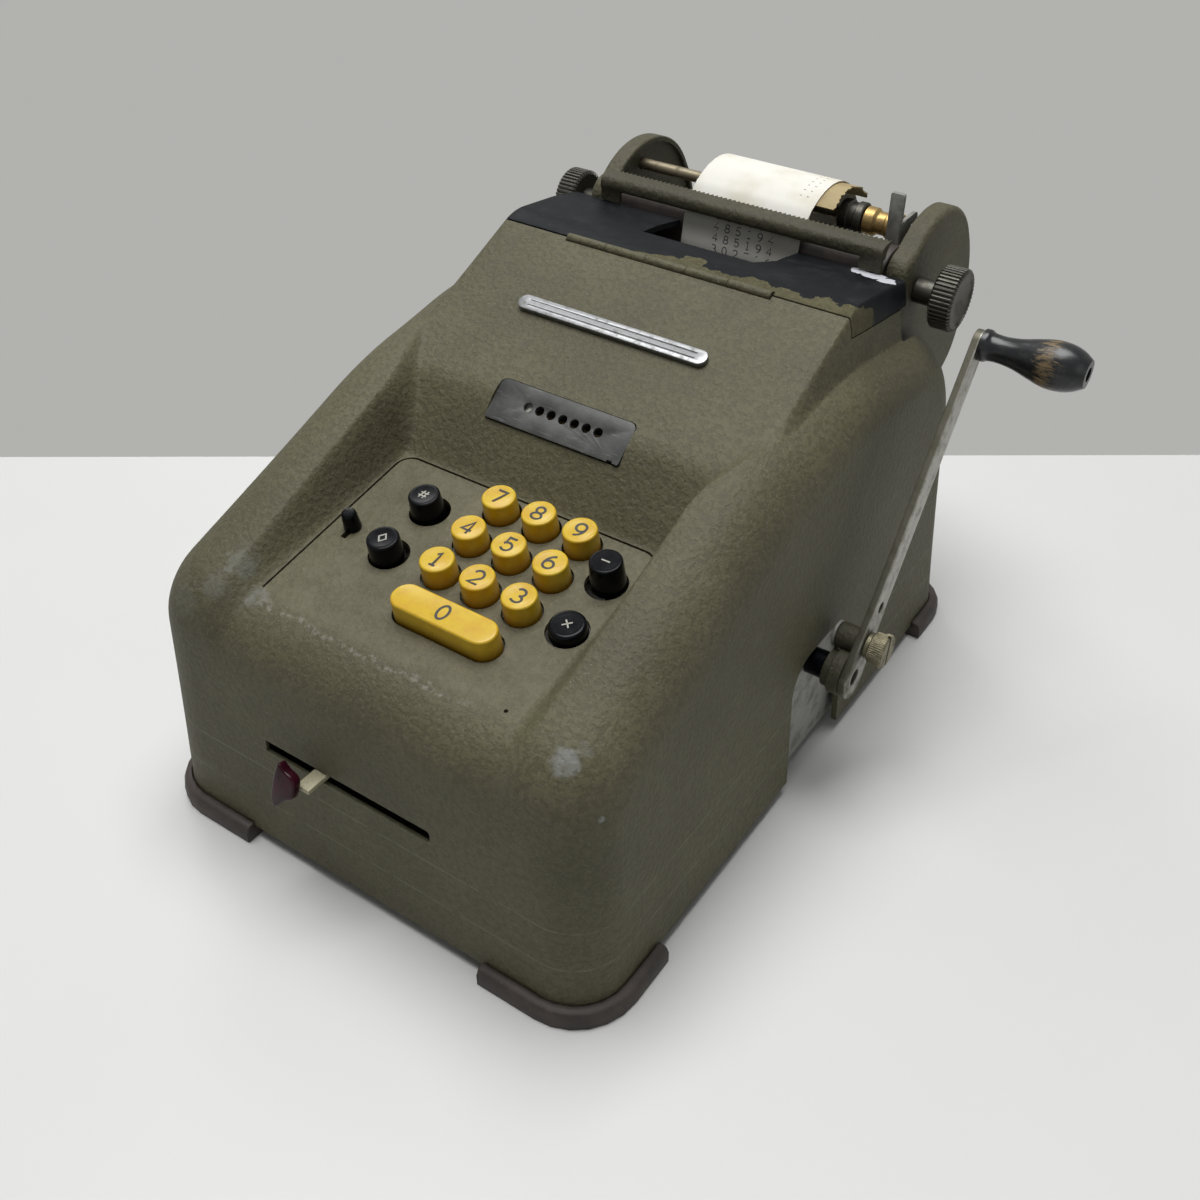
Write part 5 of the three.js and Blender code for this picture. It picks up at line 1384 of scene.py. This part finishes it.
def make_rod():
    """The rod with the hub and collar on it, the arm at its right end and a bright sleeve beyond."""
    rod = solid("roll_rod", [turned(disc(-74.4, 80.4, 2.6), SPINDLE, 40)])
    dress(rod, "rod_steel", "case", ["paper_rod"])
    bore = ROD_BORE
    hub = [(36, bore), (36, 6.4), (36.6, 7), (40, 7), (40.6, 6.2), (43, 6.2), (43.6, 7)]
    hub += [(46.4, 7), (47, 6.4), (47, bore)]
    dress(tube("hub_sleeve", hub, SPINDLE), "dark_steel", "roll", ["roll_hub"])
    collar = [(47.3, bore), (47.3, 5.4), (47.8, 6), (52, 6), (53.4, 4.9), (57, 4.9), (57.8, 5.7)]
    collar += [(63.5, 5.7), (64, 5.2), (64, bore)]
    dress(tube("collar_sleeve", collar, SPINDLE), "brass", "roll", nodes=["rod_collar"])
    x1 = CARRIAGE_X + BRACKET_OUTER - BRACKET_THICK - 4.8
    y, z = SPINDLE
    flange = solid("arm_plate", [prism(rounded(y - 8.4, y + 6, z - 4.6, z + 7, 2.5), x1 - 1.6, x1, "X")])
    upright = rounded(x1 - 6.4, x1 - 0.4, z - 3, z + 19, [0.5, 0.5, 0.9, 0.9])
    tab = solid("tab", [prism(upright, y - 11, y - 9, "Y")])
    foot = solid("foot", [block(x1 - 2, x1, y - 10.5, y - 8, z - 3, z + 7)])
    combine(flange, [tab, foot], "UNION")
    combine(flange, [drill(x1 - 4, x1 + 4, ROD_BORE, SPINDLE)])
    dress(soften(flange, 0.25, 2), "plate_steel", "rod_arm", ["rod_arm"])
    end = [(0.4, 2.7), (0.4, 3.5), (0.7, 3.8), (4.1, 3.8), (4.4, 3.5), (4.4, 2.7)]
    end = [(x1 + x, radius) for x, radius in end]
    dress(tube("rod_end", end, SPINDLE), "bright_trim", "case")


BAR = {"front": 259.4, "rear": 268.4, "bottom": 190.0, "top": 196.4, "leg_bottom": 185.1}
TOOTH = 2.2
TOOTH_DEPTH = 1.5


def make_tear_bar():
    """A hollow bar with a toothed rear edge, on a short leg at each end."""
    side = BRACKET_OUTER - BRACKET_THICK - FIT
    x0, x1 = CARRIAGE_X - side, CARRIAGE_X + side
    count = int((x1 - x0) / TOOTH) * 2
    rows = []
    for k in range(count + 1):
        front, bottom, top = BAR["front"], BAR["bottom"], BAR["top"]
        rear = BAR["rear"] - (TOOTH_DEPTH if k % 2 else 0.0)
        section = [(263.4, bottom), (front + 1.2, bottom)]
        section += curve(section[-1], (front, bottom), (front, bottom + 1.6), 4)
        section += [(front, top - 4)]
        section += curve(section[-1], (front, top - 0.4), (264, top), 8)
        section += [(rear, top), (rear, top - 0.9)]
        section += curve(section[-1], (264.8, top - 1.6), (263.4, bottom), 6)[:-1]
        rows.append([(mix(x0, x1, k / count), y, z) for y, z in section])
    bar = solid("tear_bar_edge", [skin(rows)], 40)
    legs = []
    for x in (x0, x1 - 10):
        outline = rounded(x, x + 10, BAR["front"] + 0.2, 262.1, 0.6, 3)
        legs.append(solid("leg", [prism(outline, BAR["leg_bottom"], BAR["bottom"] + 2, "Z")]))
    combine(bar, legs, "UNION", 40)
    # The bar's paint is a darker copy of the case paint: painted shade and grime.
    dress(bar, "shaded_grimy_paint", "lid", ["tear_bar"])


make_bracket("left_bracket_shell", -1)
make_bracket("right_bracket_shell", 1)
make_platen()
make_knob("left_knob", -1)
make_knob("right_knob", 1)
make_paper()
make_rod()
make_tear_bar()


# Crank
CRANK = (167.0, 58.2)
LEAN = math.radians(35.2)
REACH = 141.0
WAY = Vector((math.sin(LEAN), math.cos(LEAN)))
SIDE = Vector((WAY.y, -WAY.x))
HANDLE_LENGTH = 42.0
PIVOT_RADIUS = 9.6
# Where the arm's wide foot ends: along the arm and half across it.
ARM_SHOULDER = (34.0, 6.2)
CLAMP_REACH = 14.4
CLAMP_RADIUS = 5.6
CLAMP_RIM = 7.4
CLAMP_BORE = 3.3
SHAFT_BORE = 3.9
HUB_INNER = 111.2
HUB_STEP = 3.4
ARM_GAP = 0.3


def on_arm(reach, side=0.0):
    return tuple(Vector(CRANK) + WAY * reach + SIDE * side)


def arm_outline():
    heading = math.degrees(math.atan2(WAY.y, WAY.x))
    tip = on_arm(REACH)
    return (
        arc(CRANK, PIVOT_RADIUS, heading + 104.4, heading + 255.6, 24)
        + [on_arm(*ARM_SHOULDER)]
        + arc(tip, 5.6, heading - 90, heading + 90, 16)
        + [on_arm(ARM_SHOULDER[0], -ARM_SHOULDER[1])]
    )


def make_arm():
    """The flat bar with its three holes and the pin that the handle turns on."""
    outer = ARM_X + ARM_THICK
    arm = solid("arm_bar", [prism(arm_outline(), ARM_X, outer, "X")])
    holes = []
    for centre, radius in ((CRANK, 3.6), (on_arm(CLAMP_REACH), CLAMP_BORE), (on_arm(30.4), 2.4)):
        holes.append(drill(ARM_X - 3, outer + 3, radius, centre))
    combine(arm, holes)
    soften(arm, 0.45, 3)
    end = outer + ARM_GAP + HANDLE_LENGTH - 2.4
    pin = [(outer - 1, 0), (outer - 1, 2.6), (end - 0.5, 2.6), (end, 2.1), (end, 0)]
    combine(arm, [solid("pin", [turned(pin, on_arm(REACH), 32)])], "UNION")
    dress(arm, "crank_steel", "crank", ["crank_arm"])


def make_handle():
    """A turned grip, given as shares of its length and radii."""
    start = ARM_X + ARM_THICK + ARM_GAP
    shape = [(0, 6.4), (0.05, 6.4), (0.09, 5.6), (0.2, 5.4), (0.34, 6.2), (0.48, 7.8)]
    shape += [(0.62, 9.2), (0.72, 9.5), (0.82, 9.1), (0.91, 7.9), (0.97, 6.4), (1, 5.6)]
    even, _ = path_points([(share * HANDLE_LENGTH, radius) for share, radius in shape], 70)
    profile = [(start + p.x, p.y) for p, _ in even]
    profile = [(start, 2.9)] + profile + [(start + HANDLE_LENGTH, 2.9)]
    dress(tube("handle_grip", profile, on_arm(REACH), 64), "dark_wood", "handle", nodes=["crank_handle"])


def make_hub():
    """A stepped disc with a small ear for the clamp screw, and the dark collar inside it."""
    clamp = on_arm(CLAMP_REACH)
    x0, x1 = HUB_INNER, ARM_X - ARM_GAP
    step = x0 + HUB_STEP
    hub = solid("hub_cam", [turned(disc(x0, step + 0.1, PIVOT_RADIUS - 1.6), CRANK, 64)])
    flange = solid("flange", [turned(disc(step, x1, PIVOT_RADIUS), CRANK, 64)])
    ear = solid("ear", [turned(disc(x0, x1, CLAMP_RADIUS), clamp, 40)])
    combine(hub, [flange, ear], "UNION")
    bore = drill(x0 - 1, x1 - 1.4, SHAFT_BORE, CRANK, 48)
    combine(hub, [bore, drill(x0 - 1, x1 + 1, CLAMP_BORE, clamp)])
    # The hub's paint is a darker copy of the case paint: painted shade and grime.
    dress(hub, "shaded_grimy_paint", "crank", ["crank_hub"])
    wall = CASE_WIDTH / 2 - WALL_LEAN * (ARCH["top"] + 10 - CASE_BOTTOM) - CASE_WALL
    end = HUB_INNER - 0.3
    collar = [(wall, SHAFT_BORE), (wall, 5.5), (wall + 0.4, 5.9)]
    collar += [(end - 0.4, 5.9), (end, 5.5), (end, SHAFT_BORE)]
    dress(tube("collar_ring", collar, CRANK), "black_key", "crank", nodes=["shaft_collar"])


def make_clamp_screw():
    """A slotted thumb screw: knurled head on a short neck, and a worn disc on its inner end."""
    clamp = on_arm(CLAMP_REACH)
    start = ARM_X + ARM_THICK + ARM_GAP
    neck = start + 1.8
    end = neck + 7.0
    rim = CLAMP_RIM
    rows = []
    for x, reach in (
        (neck, rim - 1.5),
        (neck + 0.6, rim - 0.8),
        (end - 2.9, rim - 0.7),
        (end - 2.6, rim),
        (end - 0.7, rim),
        (end, rim - 0.7),
    ):
        scale = reach / rim
        rows.append([(x, clamp[0] + u * scale, clamp[1] + v * scale) for u, v in ribbed(rim, 0.22, 48)])
    head = solid("clamp_screw_head", [skin(rows)], 28)
    shank = [(110.6, 0), (110.6, 3), (start, 3), (start, CLAMP_RADIUS - 0.2), (start + 0.3, CLAMP_RADIUS)]
    shank += [(neck + 0.2, CLAMP_RADIUS), (neck + 0.2, 0)]
    combine(head, [solid("shank", [turned(shank, clamp, 32)])], "UNION")
    slot = block(end - 1.4, end + 1, -9, 9, -0.7, 0.7)
    turn = tilted(0, *clamp, math.radians(82.4))
    combine(head, [solid("slot", [slot], 0, turn)])
    dress(head, "nickel_brass", "crank", ["clamp_screw"])
    inner_end = solid("clamp_end", [turned(disc(109.4, 110.8, CLAMP_RADIUS), clamp, 40)])
    dress(inner_end, "plate_steel", "crank")


def make_front_lever():
    """A pale strip out of the slot, with a dark shield-shaped knob at its end."""
    x = LEVER_REST_X
    tab = solid("lever_strip", [block(x - 3.2, x + 3.2, -6.2, 24, LEVER_TOP - LEVER_THICK, LEVER_TOP)])
    dress(soften(tab, 0.4, 3), "cream_lever", "front_lever", nodes=["lever_tab"])
    outline = [(-8.6, 10.0)]
    for bend, corner in (
        ((-10.6, 4.5), (-11.4, -0.9)),
        ((-12.1, -4.9), (-11.7, -8.8)),
        ((-11.0, -11.3), (-9.3, -10.1)),
        ((-6.4, -5.7), (-1.8, -2.9)),
        ((0.1, 0.8), (0.2, 4.7)),
        ((0.2, 7.8), (-3.7, 8.4)),
        ((-5.5, 8.9), (-6.9, 10.7)),
        ((-8.0, 11.4), (-8.6, 10.0)),
    ):
        outline += curve(outline[-1], bend, corner, 6)
    outline.pop()
    lean = tilted(x, -7.7, LEVER_TOP - LEVER_THICK / 2, math.radians(-10))
    shield = solid("lever_shield", [prism(outline, -3.2, 0.8, "Y")], 32, lean)
    dress(soften(shield, 0.9, 4, 50), "maroon_knob", "front_lever", nodes=["lever_knob"])


make_arm()
make_handle()
make_hub()
make_clamp_screw()
make_front_lever()


def make_foot(name):
    """A rubber corner shoe with softened edges."""
    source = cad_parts[name]
    shoe = link(name + "_shoe", source.data.copy())
    clean(shoe.data, 30)
    shoe.data.name = name + "_shoe"
    soften(shoe, 0.7, 3, 30)
    dress(shoe, "rubber", "case", nodes=[name])


for corner in ("foot_front_left", "foot_front_right", "foot_rear_left", "foot_rear_right"):
    make_foot(corner)

# Looks of the inner parts.
STEEL_NODES = (
    "base_plate", "left_frame", "right_frame", "key_guide", "carriage_rail", "spool_deck",
    "carrier_plate", "crank_shaft", "pin_carriage", "type_sectors",
)
KEPT_LOOKS = {
    **{node: "steel" for node in STEEL_NODES},
    "wall_plate": "plate_steel",
    "column_pointer": "white_paper",
    "register_pinions": "brass",
    "ribbon_spool_left": "window_metal",
    "ribbon_spool_right": "window_metal",
}
for node_name, look_name in KEPT_LOOKS.items():
    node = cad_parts[node_name]
    node.data.materials.clear()
    node.data.materials.append(LOOKS[look_name])


# Floor, light and background
# The table's far edge runs through these two places, in millimetres.
TABLE_EDGE = (Vector((-395.8, 119.2, 0)), Vector((180.9, 519.7, 0)))


def make_floor():
    mesh = bpy.data.meshes.new("floor")
    first, last = (place(point) for point in TABLE_EDGE)
    along = (last - first).normalized() * 3
    middle = (first + last) / 2
    near = Vector((along.y, -along.x, 0)) * 1.6
    corners = [middle - along, middle + along, middle + along + near, middle - along + near]
    mesh.from_pydata(corners, [], [(0, 1, 2, 3)])
    floor = link("floor", mesh)
    look = Look("floor")
    cloud = look.noise(180.0, 5.0)
    mesh.materials.append(look.set(look.blend(cloud, (0.70, 0.70, 0.685), (0.75, 0.75, 0.735)), 0.5))


def area_light(name, location, target, size, power):
    data = bpy.data.lights.new(name, "AREA")
    data.shape = "RECTANGLE"
    data.size, data.size_y = size
    data.energy = power
    lamp = bpy.data.objects.new(name, data)
    lamp.location = location
    lamp.rotation_euler = (Vector(target) - Vector(location)).to_track_quat("-Z", "Y").to_euler()
    bpy.context.scene.collection.objects.link(lamp)


def make_world():
    world = bpy.data.worlds.new("world")
    bpy.context.scene.world = world
    world.use_nodes = True
    nodes, links = world.node_tree.nodes, world.node_tree.links
    light = nodes["Background"]
    light.inputs["Color"].default_value = (0.97, 0.985, 1.0, 1.0)
    light.inputs["Strength"].default_value = 0.14
    backdrop = nodes.new("ShaderNodeBackground")
    backdrop.inputs["Color"].default_value = (0.445, 0.445, 0.43, 1.0)
    path = nodes.new("ShaderNodeLightPath")
    seen = path.outputs["Is Camera Ray"]
    for kind in ("Is Glossy Ray", "Is Transmission Ray"):
        either = nodes.new("ShaderNodeMath")
        either.operation = "MAXIMUM"
        links.new(seen, either.inputs[0])
        links.new(path.outputs[kind], either.inputs[1])
        seen = either.outputs[0]
    chooser = nodes.new("ShaderNodeMixShader")
    links.new(seen, chooser.inputs["Fac"])
    links.new(light.outputs[0], chooser.inputs[1])
    links.new(backdrop.outputs[0], chooser.inputs[2])
    links.new(chooser.outputs[0], nodes["World Output"].inputs["Surface"])


make_floor()
make_world()
area_light("overhead_panel", (-0.2, 0.1, 2.0), (0, 0, 0.1), (1.5, 1.1), 41)
area_light("window_panel", (-1.3, 0.9, 1.3), (0, 0, 0.1), (0.5, 0.5), 4)
area_light("side_panel", (1.7, -0.6, 0.9), (0, 0, 0.1), (1.2, 1.0), 1.5)
bpy.context.scene.view_settings.view_transform = "Standard"
